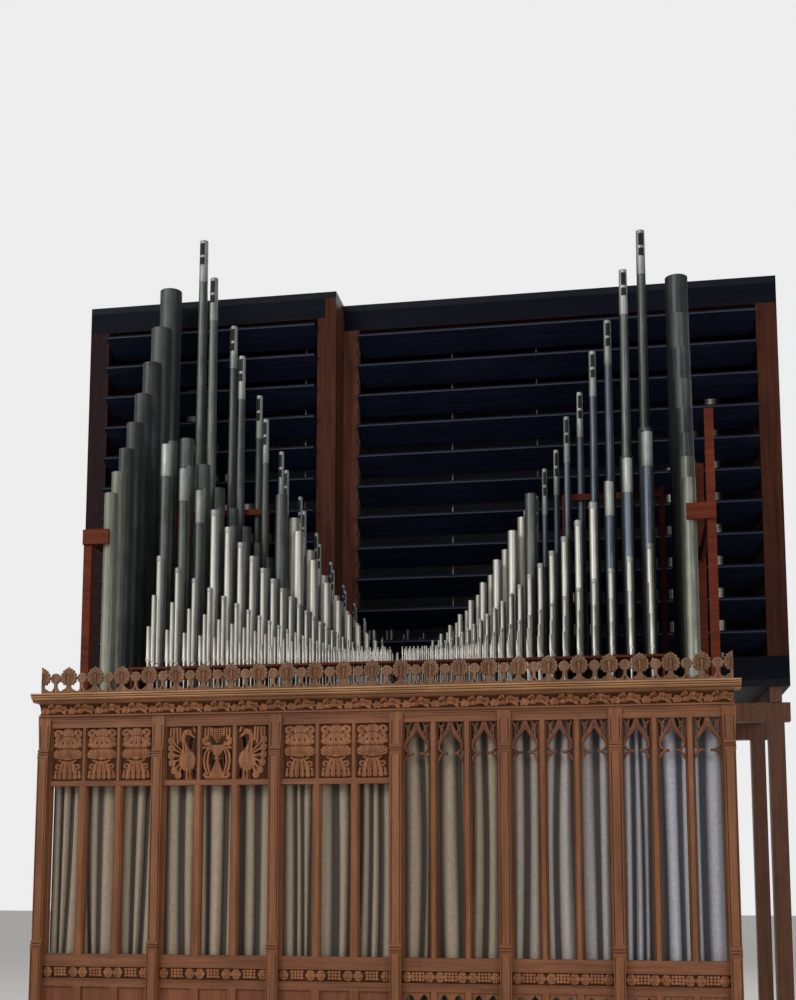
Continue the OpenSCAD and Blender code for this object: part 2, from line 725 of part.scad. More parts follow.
// The great windchest stands on two bearers and carries the toe boards
module great_chest() {
    half = chest_w / 2;
    color("#8f5a34") placed() {
        for (y = [chest_y, chest_y + chest_d - frame_post])
            box(-half + 60, half - 60, y, y + frame_post, frame_h, chest_z - joint_gap);
        box(-half, half, chest_y, chest_y + chest_d, chest_z, chest_z + chest_h - joint_gap);
        box(-half, half, chest_y - 10, chest_y + chest_d, chest_z + chest_h, toe_z);
    }
}

// A flue pipe: a hollow foot, a languid across it and an open body with a cut mouth
module pipe(d, l, foot, top = 1, cap = false) {
    r = d / 2;
    wall = min(pipe_wall, r / 4);
    toe = max(r * 0.28, 2.5);
    inner = r - wall;
    rt = r * top;
    slope = (rt - r) / l;
    z = foot + 2 * wall;
    difference() {
        rotate_extrude() polygon(cap
            ? [[toe - wall, 0], [toe, 0], [r, foot], [rt, foot + l], [0, foot + l], [0, z], [inner, z],
               [inner, z - wall], [0, z - wall], [0, foot], [inner, foot]]
            : [[toe - wall, 0], [toe, 0], [r, foot], [rt, foot + l], [rt - wall, foot + l],
               [inner + slope * 2 * wall, z], [0, z], [0, foot], [inner, foot]]);
        if (!cap) translate([-r * mouth_share, -r - 1, z])
            cube([2 * r * mouth_share, r * (1 - 0.62) + 1, max(r * 0.36, 2.5)]);
    }
}
module rank(low_l, low_d, y, first = 0, row = 0, top = 1, half = halving) {
    for (n = [first : notes - 1]) translate([channel_x(n), chest_y + y + zigzag(n, row), toe_z])
        pipe(pipe_d(low_d, n), pipe_l(low_l, n, half), foot_h, top);
}
module mixture() {
    color(spotted_metal) placed() {
        rank(mixture_a_l, mixture_a_d, mixture_a_y);
        rank(mixture_b_l, mixture_b_d, mixture_b_y);
    }
}
module fifteenth() { color(spotted_metal) placed() rank(fifteenth_l, fifteenth_d, fifteenth_y); }
module principal() { color(spotted_metal) placed() rank(principal_l, principal_d, principal_y); }
module octave() { color(zinc) placed() rank(octave_l, octave_d, octave_y); }
module stopped_flute() { color(zinc) placed() rank(flute_l, flute_d, flute_y); }
module open_diapason() {
    color(zinc) placed() rank(diapason_l, diapason_d, diapason_y, bass_count, diapason_row);
}

// The viola's longest pipe stands in the back row
module viola() {
    color(zinc) placed() rank(viola_l, viola_d, viola_y + viola_row, 0, -viola_row, viola_taper, viola_halving);
}

// The rackboard holds the feet a little above the chest, on short pillars
foot_at_rack = (rack_up + rack_t) / foot_h;
function foot_r(d) = max(d * 0.14, 2.5) + (d / 2 - max(d * 0.14, 2.5)) * foot_at_rack;
module rack_holes(low_d, y, first = 0, row = 0) {
    for (n = [first : notes - 1]) translate([channel_x(n), chest_y + y + zigzag(n, row), rack_z - 1])
        cylinder(r = foot_r(pipe_d(low_d, n)) + 0.4, h = rack_t + 2);
}
module great_rackboard() {
    half = rack_w / 2;
    color(rack_pine) placed() {
        difference() {
            box(-half, half, chest_y + 20, chest_y + chest_d - 30, rack_z, rack_z + rack_t);
            rack_holes(mixture_a_d, mixture_a_y);
            rack_holes(mixture_b_d, mixture_b_y);
            rack_holes(fifteenth_d, fifteenth_y);
            rack_holes(principal_d, principal_y);
            rack_holes(octave_d, octave_y);
            rack_holes(flute_d, flute_y);
            rack_holes(diapason_d, diapason_y, bass_count, diapason_row);
            rack_holes(viola_d, viola_y + viola_row, 0, -viola_row);
        }
        for (x = [-half + pillar_d, half - pillar_d], y = [30, chest_d / 2, chest_d - 40])
            translate([x, chest_y + y, toe_z]) cylinder(d = pillar_d, h = rack_up - joint_gap);
    }
}

// Racks steady the tall pipes: a short rail between the viola's rows at each end, on an outer and an inner
// post, and a bar beside each row of side basses
module viola_rack(s) {
    rail_y = chest_y + viola_y + viola_row / 2;
    rail_t = 18;
    rail_h = 37;
    post_half = (chest_w - rack_w) / 4 - 1;
    post_mid = (chest_w + rack_w) / 4;
    far = post_mid - post_half - joint_gap;
    near = far - viola_rail_run;
    translate([s * post_mid, 0, 0]) box(-post_half, post_half, rail_y - 20, rail_y + 20, toe_z, viola_rail_z + 60);
    box(min(s * near, s * far), max(s * near, s * far), rail_y - rail_t / 2, rail_y + rail_t / 2,
        viola_rail_z, viola_rail_z + rail_h);
    translate([s * (near + 20), 0, 0]) box(-18, 18, rail_y - rail_t / 2, rail_y + rail_t / 2,
        rack_z + rack_t, viola_rail_z - joint_gap);
}
module bass_rack(s) {
    post = 48;
    bar_h = 88;
    out = bass_x + bass_chest_w / 2 + post / 2;
    y0 = bass_y - 40;
    y1 = bass_y + bass_row + 60;
    top = bass_rail_z + (s > 0 ? bass_post_rise : bar_h);
    for (y = [y0, y1]) translate([s * out, y, 0]) box(-post / 2, post / 2, -20, 20, frame_h, top);
    translate([s * out, 0, 0]) box(-11, 11, y0 + 20 + joint_gap, y1 - 20 - joint_gap, bass_rail_z, bass_rail_z + bar_h);
    box(min(s * (out + post / 2), s * (bass_x - 20)), max(s * (out + post / 2), s * (bass_x - 20)),
        y0 - 40, y0 - 20 - joint_gap, bass_rail_z, bass_rail_z + bar_h);
}
module pipe_racks() {
    color(rack_pine) placed() for (s = [-1, 1]) {
        viola_rack(s);
        bass_rack(s);
    }
}
module passage_board() {
    color("#8f5a34") placed() box(-screen_half + 200, screen_half - 200,
        chest_y + chest_d + 8, left_front_y - 20, frame_h - 40, frame_h);
}

// Side basses stand on two low chests beyond the great chest's ends
module bass_chests() {
    color("#8f5a34") placed() for (s = [-1, 1])
        box(s * bass_x - bass_chest_w / 2, s * bass_x + bass_chest_w / 2, bass_y - 60, bass_y + bass_row + 90,
            frame_h, bass_toe_z);
}
module bass_pipes() {
    color(zinc) placed() for (n = [0 : bass_count - 1]) translate([bass_side(n) * bass_x, bass_y + bass_run(n), bass_toe_z])
        pipe(pipe_d(diapason_d, n), pipe_l(diapason_l, n, halving), foot_h);
}

// The swell box steps forward on the left
module swell_plate(z) {
    step = step_x + return_t;
    box(-swell_half, step - joint_gap, left_front_y, swell_back_y, z, z + board_t);
    box(step, swell_half, right_front_y, swell_back_y, z, z + board_t);
}
module swell_floor() { color(box_black) placed() swell_plate(swell_z); }
module swell_roof() { color(box_black) placed() swell_plate(roof_z); }
module swell_back() {
    color(box_black) placed() box(-swell_half, swell_half, swell_back_y - board_t, swell_back_y, swell_floor_z, roof_z);
}
module swell_sides() {
    color(box_black) placed() {
        box(-swell_half, -swell_half + board_t, left_front_y + front_d, swell_back_y - board_t, swell_floor_z, roof_z);
        box(swell_half - board_t, swell_half, right_front_y + front_d, swell_back_y - board_t, swell_floor_z, roof_z);
        box(step_x, step_x + return_t, left_front_y + front_d, right_front_y + front_d, swell_floor_z, roof_z);
    }
}
module pin_holes(side, x) {
    for (i = [1 : shade_count]) translate([x, pivot_y(side), pivot_z(i)]) rotate([0, 90, 0])
        cylinder(d = pin_d + 2 * pin_play, h = 2 * (pin_l + 2), center = true);
}
module stile(side, x0, x1, hinge_x) {
    y = front_y(side);
    difference() {
        box(x0, x1, y, y + front_d, swell_floor_z, roof_z);
        pin_holes(side, hinge_x);
    }
}
module front_frame(side, x0, x1) {
    y = front_y(side);
    from = louvre_from(side);
    to = louvre_to(side);
    stile(side, x0, from, from);
    stile(side, to, x1, to);
    box(from + joint_gap, to - joint_gap, y, y + front_d, swell_floor_z, shade_z);
    box(from + joint_gap, to - joint_gap, y, y + front_d, header_z, roof_z);
}
module swell_front() {
    color("#3a1a14") placed() {
        front_frame("left", -swell_half, step_x + return_t - joint_gap);
        front_frame("right", step_x + return_t, swell_half);
    }
}

// A shade turns on a pin at each end, and its long edges are rounded over
module shade(side, i) {
    x0 = louvre_from(side) + end_gap;
    x1 = louvre_to(side) - end_gap;
    nose = shade_t / 3;
    color("#191926") placed() translate([0, pivot_y(side), pivot_z(i)]) rotate([open_angle, 0, 0]) union() {
        translate([x0, 0, 0]) rotate([90, 0, 90]) linear_extrude(x1 - x0) polygon([
            [-shade_t / 2, -shade_w / 2 + nose], [-nose, -shade_w / 2], [nose, -shade_w / 2],
            [shade_t / 2, -shade_w / 2 + nose], [shade_t / 2, shade_w / 2 - nose],
            [nose, shade_w / 2], [-nose, shade_w / 2], [-shade_t / 2, shade_w / 2 - nose]
        ]);
        translate([louvre_from(side) - pin_l, 0, 0]) rotate([0, 90, 0])
            cylinder(d = pin_d, h = louvre_to(side) - louvre_from(side) + 2 * pin_l);
    }
}
module stay(side, x) {
    translate([x, pivot_y(side) + stay_back, swell_floor_z]) cylinder(d = stay_d, h = roof_z - swell_floor_z);
}
module shade_stays() {
    color("#c9c3b4") placed() {
        stay("left", step_x - left_stay_run);
        stay("right", step_x + right_stay_run);
        stay("right", step_x + right_stay_run + stay_pitch);
    }
}

// Inside the box a chest carries the swell pipes
swell_chest_y = swell_back_y - board_t - swell_chest_back - swell_chest_d;
swell_toe_z = swell_floor_z + swell_chest_h;
swell_notes = 30;
swell_end = 180;
module swell_chest() {
    color("#8f5a34") placed() box(-swell_half + swell_end, swell_half - swell_end,
        swell_chest_y, swell_chest_y + swell_chest_d, swell_floor_z, swell_toe_z);
}

// A swell rank's pipes stand closer together towards the middle
module swell_rank(low_l, low_d, row) {
    half = swell_half - swell_end - 100;
    spread = 1.15;
    y = swell_chest_y + (row + 0.5) * swell_chest_d / 3;
    for (n = [0 : swell_notes - 1]) translate([(n % 2 == 0 ? -1 : 1) * half * pow(1 - n / swell_notes, spread), y, swell_toe_z])
        pipe(low_d * pow(2, -n / 9), low_l * pow(2, -n / 7.5), swell_foot_h);
}
module swell_pipes() {
    color(spotted_metal) placed() {
        swell_rank(swell_short_l, swell_short_d, 0);
        swell_rank(swell_middle_l, swell_middle_d, 1);
        swell_rank(swell_long_l, swell_long_d, 2);
    }
}

// Wind: a weighted reservoir on legs, and trunks up to the two chests
res_y = chest_y + 110;
trunk_y = res_y + reservoir_d - trunk_w - 20;
reservoir_top = reservoir_leg + reservoir_h;
module reservoir() {
    x = reservoir_w / 2;
    y1 = res_y + reservoir_d;
    color("#6b4a30") placed() {
        for (sx = [-x + 20, x - 100], sy = [res_y + 20, y1 - 100]) box(sx, sx + 80, sy, sy + 80, 0, reservoir_leg - joint_gap);
        box(-x, x, res_y, y1, reservoir_leg, reservoir_leg + 70);
        box(-x + 40, x - 40, res_y + 40, y1 - 40, reservoir_leg + 70 + joint_gap, reservoir_top - 60 - joint_gap);
        box(-x, x, res_y, y1, reservoir_top - 60, reservoir_top);
    }
}
module wind_trunks() {
    x = reservoir_w / 2 + 250;
    far_y = swell_chest_y + 100;
    low_top = reservoir_leg + 70;
    color("#6b4a30") placed() {
        box(-trunk_w / 2, trunk_w / 2, trunk_y, trunk_y + trunk_w, reservoir_top, chest_z);
        box(reservoir_w / 2, x - joint_gap, trunk_y, trunk_y + trunk_w, reservoir_leg, low_top);
        box(x, x + trunk_w, trunk_y, far_y + trunk_w, reservoir_leg, low_top - joint_gap);
        box(x, x + trunk_w, far_y, far_y + trunk_w, low_top, swell_z);
    }
}

screen_posts();
screen_rails();
vine_rail();
lower_panels();
lower_tracery();
panel_lights();
carved_panels();
tracery_lights();
frieze_board();
cornice();
cresting();
upper_curtains();
lower_curtains();
curtain_rods();
building_frame();
great_chest();
great_rackboard();
pipe_racks();
passage_board();
mixture();
fifteenth();
principal();
octave();
stopped_flute();
open_diapason();
viola();
bass_pipes();
bass_chests();
swell_floor();
swell_back();
swell_sides();
swell_front();
swell_roof();
shade_stays();
swell_chest();
swell_pipes();
reservoir();
wind_trunks();
for (side = ["left", "right"], i = [1 : shade_count]) shade(side, i);
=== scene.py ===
import json
import math

import bpy
import numpy as np
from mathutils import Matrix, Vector


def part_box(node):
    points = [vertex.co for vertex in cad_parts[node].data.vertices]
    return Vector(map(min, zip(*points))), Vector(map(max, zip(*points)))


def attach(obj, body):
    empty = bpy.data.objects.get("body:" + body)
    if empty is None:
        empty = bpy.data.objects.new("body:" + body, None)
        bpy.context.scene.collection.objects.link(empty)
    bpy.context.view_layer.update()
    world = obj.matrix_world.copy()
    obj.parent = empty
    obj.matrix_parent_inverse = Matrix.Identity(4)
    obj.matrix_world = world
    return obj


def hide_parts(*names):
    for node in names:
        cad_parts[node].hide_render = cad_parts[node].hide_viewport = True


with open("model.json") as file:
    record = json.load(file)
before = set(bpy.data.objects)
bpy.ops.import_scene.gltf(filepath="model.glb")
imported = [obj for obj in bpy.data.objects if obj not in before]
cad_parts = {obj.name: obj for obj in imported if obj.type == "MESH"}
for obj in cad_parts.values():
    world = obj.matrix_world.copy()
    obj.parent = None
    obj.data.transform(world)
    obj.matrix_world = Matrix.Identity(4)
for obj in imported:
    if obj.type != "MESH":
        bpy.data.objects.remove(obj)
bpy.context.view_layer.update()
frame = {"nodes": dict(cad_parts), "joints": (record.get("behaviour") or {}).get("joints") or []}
body = "organ"

railLow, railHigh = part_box("screen_rails")
screenY = (railLow.y + railHigh.y) / 2  # the screen's centre plane
mm = 0.001
scene = bpy.context.scene
scene.view_settings.view_transform = "Standard"

# Camera, at the photograph's angle
cameraPlace = {"x": 1.3252, "forward": 6.8695, "height": 1.4751, "yaw": 9.85, "pitch": 7.25, "lens": 48.46,
               "sensor": 36, "shift": 0.19, "clip": 200}


def makeCamera():
    data = bpy.data.cameras.new("camera")
    data.lens = cameraPlace["lens"]
    data.sensor_width = cameraPlace["sensor"]
    data.shift_y = cameraPlace["shift"]
    data.clip_end = cameraPlace["clip"]
    camera = bpy.data.objects.new("camera", data)
    camera.location = (cameraPlace["x"], screenY - cameraPlace["forward"], cameraPlace["height"])
    camera.rotation_euler = (math.radians(90 + cameraPlace["pitch"]), 0, math.radians(cameraPlace["yaw"]))
    scene.collection.objects.link(camera)
    scene.camera = camera
    return camera


makeCamera()
print("camera placed")

# Shader helpers


def addNode(tree, kind, **values):
    node = tree.nodes.new(kind)
    for name, value in values.items():
        setattr(node, name, value)
    return node


def setInput(node, name, value):
    node.inputs[name].default_value = value


def newGroup(name, inputs, outputs):
    group = bpy.data.node_groups.new(name, "ShaderNodeTree")
    for label, kind, value in inputs:
        socket = group.interface.new_socket(name=label, in_out="INPUT", socket_type=kind)
        socket.default_value = value
    for label, kind in outputs:
        group.interface.new_socket(name=label, in_out="OUTPUT", socket_type=kind)
    return group, addNode(group, "NodeGroupInput"), addNode(group, "NodeGroupOutput")


def feed(tree, socket, value):  # a plain value, or what another node puts out
    if isinstance(value, (int, float, tuple)):
        socket.default_value = value
    else:
        tree.links.new(value, socket)


def noise(tree, vector, scale, detail=4.0, rough=0.55):
    node = addNode(tree, "ShaderNodeTexNoise")
    for name, value in (("Vector", vector), ("Scale", scale), ("Detail", detail), ("Roughness", rough)):
        feed(tree, node.inputs[name], value)
    return node.outputs["Fac"]


def mapRange(tree, value, low, high, toLow=0.0, toHigh=1.0):
    node = addNode(tree, "ShaderNodeMapRange")
    names = ("Value", "From Min", "From Max", "To Min", "To Max")
    for name, number in zip(names, (value, low, high, toLow, toHigh)):
        feed(tree, node.inputs[name], number)
    return node.outputs["Result"]


def maths(tree, operation, a, b=0.0):
    node = addNode(tree, "ShaderNodeMath", operation=operation)
    feed(tree, node.inputs[0], a)
    feed(tree, node.inputs[1], b)
    return node.outputs[0]


def mixColor(tree, factor, a, b, blend="MIX"):
    node = addNode(tree, "ShaderNodeMix", data_type="RGBA", blend_type=blend)
    for name, value in (("Factor", factor), ("A", a), ("B", b)):
        feed(tree, node.inputs[name], value)
    return [out for out in node.outputs if out.type == "RGBA"][0]


def tinted(tree, color, tint):
    return mixColor(tree, 1.0, color, tint, "MULTIPLY")


def objectPoint(tree):
    return addNode(tree, "ShaderNodeTexCoord").outputs["Object"]


def splitVector(tree, vector):
    node = addNode(tree, "ShaderNodeSeparateXYZ")
    tree.links.new(vector, node.inputs[0])
    return node.outputs


def stretched(tree, vector, stretch):
    node = addNode(tree, "ShaderNodeVectorMath", operation="MULTIPLY")
    tree.links.new(vector, node.inputs[0])
    feed(tree, node.inputs[1], stretch)
    return node.outputs["Vector"]


# Wood grain, stretched along the board: pores, growth bands and broad patches
grainLook = {"bands": (42, 5, 0.6), "pores": (260, 3, 0.7), "patches": (3.1, 3), "poreTone": (0.84, 1.06),
             "rough": (0.62, 0.46)}


def makeGrainGroup():
    tree, inside, out = newGroup(
        "woodGrain",
        [("Stretch", "NodeSocketVector", (1.0, 1.0, 0.06)),
         ("Dark", "NodeSocketColor", (0.1, 0.05, 0.02, 1)),
         ("Light", "NodeSocketColor", (0.3, 0.15, 0.07, 1)), ("Patch", "NodeSocketFloat", 0.25)],
        [("Color", "NodeSocketColor"), ("Height", "NodeSocketFloat"), ("Roughness", "NodeSocketFloat")])
    along = stretched(tree, objectPoint(tree), inside.outputs["Stretch"])
    bands = mapRange(tree, noise(tree, along, *grainLook["bands"]), 0.3, 0.7)
    pores = mapRange(tree, noise(tree, along, *grainLook["pores"]), 0.38, 0.62)
    patches = mapRange(tree, noise(tree, objectPoint(tree), *grainLook["patches"]), 0.3, 0.7)
    wood = mixColor(tree, bands, inside.outputs["Dark"], inside.outputs["Light"])
    wood = tinted(tree, wood, mapRange(tree, pores, 0.0, 1.0, *grainLook["poreTone"]))
    patchShade = maths(tree, "MULTIPLY", maths(tree, "SUBTRACT", patches, 0.5), inside.outputs["Patch"])
    wood = tinted(tree, wood, maths(tree, "ADD", patchShade, 1.0))
    tree.links.new(wood, out.inputs["Color"])
    tree.links.new(maths(tree, "ADD", pores, bands), out.inputs["Height"])
    tree.links.new(mapRange(tree, pores, 0, 1, *grainLook["rough"]), out.inputs["Roughness"])
    return tree


# Worn, lighter edges, and dust with painted shade darkening the hollows, from how the surface bends
wearAndShadeLook = {"edges": (0.52, 0.6), "hollows": (0.49, 0.42), "breaks": (35, 4)}


def makeWearAndShadeGroup():
    tree, inside, out = newGroup(
        "edgeWearHollowShade",
        [("Base", "NodeSocketColor", (0.5, 0.5, 0.5, 1)), ("Edge", "NodeSocketColor", (0.8, 0.7, 0.6, 1)),
         ("Hollow", "NodeSocketColor", (0.1, 0.05, 0.03, 1)), ("Amount", "NodeSocketFloat", 0.5)],
        [("Color", "NodeSocketColor"), ("Mask", "NodeSocketFloat")])
    bend = addNode(tree, "ShaderNodeNewGeometry").outputs["Pointiness"]
    broken = noise(tree, objectPoint(tree), *wearAndShadeLook["breaks"])
    edge = mapRange(tree, bend, *wearAndShadeLook["edges"])
    edge = maths(tree, "MULTIPLY", edge, mapRange(tree, broken, 0.35, 0.6))
    edge = maths(tree, "MULTIPLY", edge, inside.outputs["Amount"])
    # painted shade: dust and shade darken the hollows towards the Hollow colour
    hollow = mapRange(tree, bend, *wearAndShadeLook["hollows"])
    hollow = maths(tree, "MULTIPLY", hollow, inside.outputs["Amount"])
    shade = mixColor(tree, hollow, inside.outputs["Base"], inside.outputs["Hollow"])
    shade = mixColor(tree, edge, shade, inside.outputs["Edge"])
    tree.links.new(shade, out.inputs["Color"])
    tree.links.new(edge, out.inputs["Mask"])
    return tree


# Pipe metal: crystal spots, streaks down the sheet and dull patches, with painted highlights and painted
# shade round each pipe
metalLook = {"down": (1.0, 1.0, 0.05), "highlightAt": math.radians(-104), "streaks": 3.0,
             "paintedSideShade": (0.2, 0.2, 0.21, 1.0), "paintedHighlight": (1.4, 1.4, 1.4, 1.0), "depth": 0.0004,
             "spotShare": 0.22, "streakShare": 0.5, "patchShare": 0.28, "each": (-0.28, 0.22),
             "paintedSideShadeFrom": (-0.8, 0.3), "paintedHighlightFrom": (0.8, 0.97), "roughens": 0.35}


def makeMetalGroup():
    tree, inside, out = newGroup(
        "pipeMetal",
        [("Dark", "NodeSocketColor", (0.2, 0.2, 0.2, 1)), ("Light", "NodeSocketColor", (0.6, 0.6, 0.58, 1)),
         ("Spot", "NodeSocketFloat", 90.0), ("Dull", "NodeSocketFloat", 0.4),
         ("Streak", "NodeSocketFloat", 0.5)],
        [("Color", "NodeSocketColor"), ("Roughness", "NodeSocketFloat"), ("Height", "NodeSocketFloat")])
    point = objectPoint(tree)
    spots = mapRange(tree, noise(tree, point, inside.outputs["Spot"], 2, 0.5), 0.42, 0.58)
    streaks = mapRange(tree, noise(tree, stretched(tree, point, metalLook["down"]), 70, 4), 0.3, 0.7)
    patches = mapRange(tree, noise(tree, point, 7, 3), 0.35, 0.65)
    tone = maths(tree, "ADD", maths(tree, "MULTIPLY", spots, metalLook["spotShare"]),
                 maths(tree, "MULTIPLY", streaks, metalLook["streakShare"]))
    tone = maths(tree, "ADD", tone, maths(tree, "MULTIPLY", patches, metalLook["patchShare"]))
    # each pipe is a little lighter or darker than the next
    each = addNode(tree, "ShaderNodeNewGeometry").outputs["Random Per Island"]
    tone = maths(tree, "ADD", tone, mapRange(tree, each, 0.0, 1.0, *metalLook["each"]))
    # painted highlight and shade: three bright bands run up each pipe, set by which way its surface faces,
    # with painted shade between them
    facing = splitVector(tree, addNode(tree, "ShaderNodeTexCoord").outputs["Normal"])
    angle = maths(tree, "SUBTRACT", maths(tree, "ARCTAN2", facing["Y"], facing["X"]), metalLook["highlightAt"])
    wave = maths(tree, "COSINE", maths(tree, "MULTIPLY", angle, metalLook["streaks"]))
    paintedSideShade = mapRange(tree, wave, *metalLook["paintedSideShadeFrom"], 1.0, 0.0)
    paintedHighlight = mapRange(tree, wave, *metalLook["paintedHighlightFrom"], 0.0, 1.0)
    metal = mixColor(tree, tone, inside.outputs["Dark"], inside.outputs["Light"])
    darker = tinted(tree, metal, metalLook["paintedSideShade"])
    metal = mixColor(tree, maths(tree, "MULTIPLY", paintedSideShade, inside.outputs["Streak"]), metal, darker)
    brighter = tinted(tree, inside.outputs["Light"], metalLook["paintedHighlight"])
    metal = mixColor(tree, maths(tree, "MULTIPLY", paintedHighlight, inside.outputs["Streak"]), metal, brighter)
    tree.links.new(metal, out.inputs["Color"])
    dull = maths(tree, "MULTIPLY", maths(tree, "SUBTRACT", 1.0, tone), metalLook["roughens"])
    tree.links.new(maths(tree, "ADD", inside.outputs["Dull"], dull), out.inputs["Roughness"])
    tree.links.new(spots, out.inputs["Height"])
    return tree


# Woven cloth: fine threads and slubs, and painted shade that darkens the folds' valleys with depth
clothLook = {"turnsCool": (0.6, 1.55), "crest": -1.598, "valley": -1.583, "paintedValleyShade": 0.16,
             "slubTone": (0.86, 1.1), "threadTone": (0.88, 1.05), "rough": 0.9, "sheen": (0.25, 0.5),
             "bump": (0.3, 0.0003)}


def makeClothGroup():
    tree, inside, out = newGroup(
        "clothWeaveAndFoldShade",
        [("Base", "NodeSocketColor", (0.3, 0.27, 0.24, 1)), ("Far", "NodeSocketColor", (0.3, 0.3, 0.32, 1)),
         ("Thread", "NodeSocketFloat", 900.0), ("Valley", "NodeSocketFloat", 0.0)],
        [("Color", "NodeSocketColor"), ("Height", "NodeSocketFloat")])
    point = objectPoint(tree)
    at = splitVector(tree, point)
    across = maths(tree, "SINE", maths(tree, "MULTIPLY", at["X"], inside.outputs["Thread"]))
    down = maths(tree, "SINE", maths(tree, "MULTIPLY", at["Z"], inside.outputs["Thread"]))
    weave = mapRange(tree, maths(tree, "MULTIPLY", across, down), -1, 1)
    slubs = mapRange(tree, noise(tree, point, 55, 4), 0.3, 0.7, *clothLook["slubTone"])
    along = mapRange(tree, at["X"], *clothLook["turnsCool"])
    base = mixColor(tree, along, inside.outputs["Base"], inside.outputs["Far"])
    base = tinted(tree, base, slubs)
    base = tinted(tree, base, mapRange(tree, weave, 0, 1, *clothLook["threadTone"]))
    # painted shade: darker towards the back of each fold
    depth = mapRange(tree, at["Y"], clothLook["crest"], clothLook["valley"], 1.0, clothLook["paintedValleyShade"])
    valley = inside.outputs["Valley"]
    shade = maths(tree, "ADD", maths(tree, "MULTIPLY", depth, valley), maths(tree, "SUBTRACT", 1.0, valley))
    tree.links.new(tinted(tree, base, shade), out.inputs["Color"])
    tree.links.new(weave, out.inputs["Height"])
    return tree


grainGroup = makeGrainGroup()
wearAndShadeGroup = makeWearAndShadeGroup()
metalGroup = makeMetalGroup()
clothGroup = makeClothGroup()


def srgb(r, g, b):
    def linear(c):
        c = c / 255
        return c / 12.92 if c <= 0.04045 else ((c + 0.055) / 1.055) ** 2.4
    return (linear(r), linear(g), linear(b), 1.0)


def startMaterial(name):
    material = bpy.data.materials.new(name)
    material.use_nodes = True
    return material, material.node_tree, material.node_tree.nodes["Principled BSDF"]


def useGroup(tree, group, **values):
    node = addNode(tree, "ShaderNodeGroup", node_tree=group)
    for name, value in values.items():
        setInput(node, name, value)
    return node


def addBump(tree, shader, height, strength, distance):
    bump = addNode(tree, "ShaderNodeBump")
    setInput(bump, "Strength", strength)
    setInput(bump, "Distance", distance)
    tree.links.new(height, bump.inputs["Height"])
    tree.links.new(bump.outputs["Normal"], shader.inputs["Normal"])


# The way the grain runs
upright = (1.0, 1.0, 0.05)
level = (0.05, 1.0, 1.0)

woodForm = {"patch": 0.3, "bump": 0.25, "depth": 0.0006, "coatRough": 0.35, "hollow": 0.35}


def woodMaterial(name, dark, light, edge, stretch, wearAndShade=0.0, coat=0.06, shine=0.25):
    material, tree, shader = startMaterial(name)
    grain = useGroup(tree, grainGroup, Dark=dark, Light=light, Stretch=stretch, Patch=woodForm["patch"])
    # the colour that dust and painted shade darken the hollows to
    hollow = tuple(woodForm["hollow"] * c for c in dark[:3]) + (1.0,)
    wornAndShaded = useGroup(tree, wearAndShadeGroup, Edge=edge, Hollow=hollow, Amount=wearAndShade)
    tree.links.new(grain.outputs["Color"], wornAndShaded.inputs["Base"])
    tree.links.new(wornAndShaded.outputs["Color"], shader.inputs["Base Color"])
    tree.links.new(grain.outputs["Roughness"], shader.inputs["Roughness"])
    setInput(shader, "Coat Weight", coat)
    setInput(shader, "Coat Roughness", woodForm["coatRough"])
    setInput(shader, "Specular IOR Level", shine)
    addBump(tree, shader, grain.outputs["Height"], woodForm["bump"], woodForm["depth"])
    return material


# The swell front's stiles are stained red, and its headers, sills and outer edge are black; the left header
# stops short of the corner
swellPaint = {"sill": 2.775, "header": 5.128, "outer": -2.19, "fade": 0.02, "corner": -0.655, "step": 0.15,
              "paintedLitStile": -0.46, "paintedLightTone": (1.9, 2.2, 2.4, 1.0), "shine": 0.06, "most": 0.75, "patch": 0.2}


def swellMaterial(name, dark, light, blackDark, blackLight):
    material, tree, shader = startMaterial(name)
    red = useGroup(tree, grainGroup, Dark=dark, Light=light, Stretch=upright, Patch=woodForm["patch"])
    black = useGroup(tree, grainGroup, Dark=blackDark, Light=blackLight, Stretch=level,
                     Patch=swellPaint["patch"])
    at = splitVector(tree, objectPoint(tree))
    outer, fade = swellPaint["outer"], swellPaint["fade"]
    painted = maths(tree, "MAXIMUM", maths(tree, "GREATER_THAN", at["Z"], swellPaint["header"]),
                    maths(tree, "LESS_THAN", at["Z"], swellPaint["sill"]))
    edge = mapRange(tree, at["X"], outer + fade, outer - fade, 0.0, swellPaint["most"])
    painted = maths(tree, "MAXIMUM", painted, edge)
    corner = maths(tree, "MULTIPLY", maths(tree, "GREATER_THAN", at["X"], swellPaint["corner"]),
                   maths(tree, "LESS_THAN", at["Y"], swellPaint["step"]))
    painted = maths(tree, "MULTIPLY", painted, maths(tree, "SUBTRACT", 1.0, corner))
    # painted light: the right bank's inner stile is painted lighter than the rest, as where light falls on
    # it
    paintedLitStile = maths(tree, "MULTIPLY", maths(tree, "GREATER_THAN", at["Y"], swellPaint["step"]),
                  maths(tree, "LESS_THAN", at["X"], swellPaint["paintedLitStile"]))
    paintedLighter = tinted(tree, red.outputs["Color"], swellPaint["paintedLightTone"])
    stainAndPaintedLight = mixColor(tree, paintedLitStile, red.outputs["Color"], paintedLighter)
    tree.links.new(mixColor(tree, painted, stainAndPaintedLight, black.outputs["Color"]), shader.inputs["Base Color"])
    tree.links.new(red.outputs["Roughness"], shader.inputs["Roughness"])
    setInput(shader, "Specular IOR Level", swellPaint["shine"])
    addBump(tree, shader, red.outputs["Height"], woodForm["bump"], woodForm["depth"])
    return material


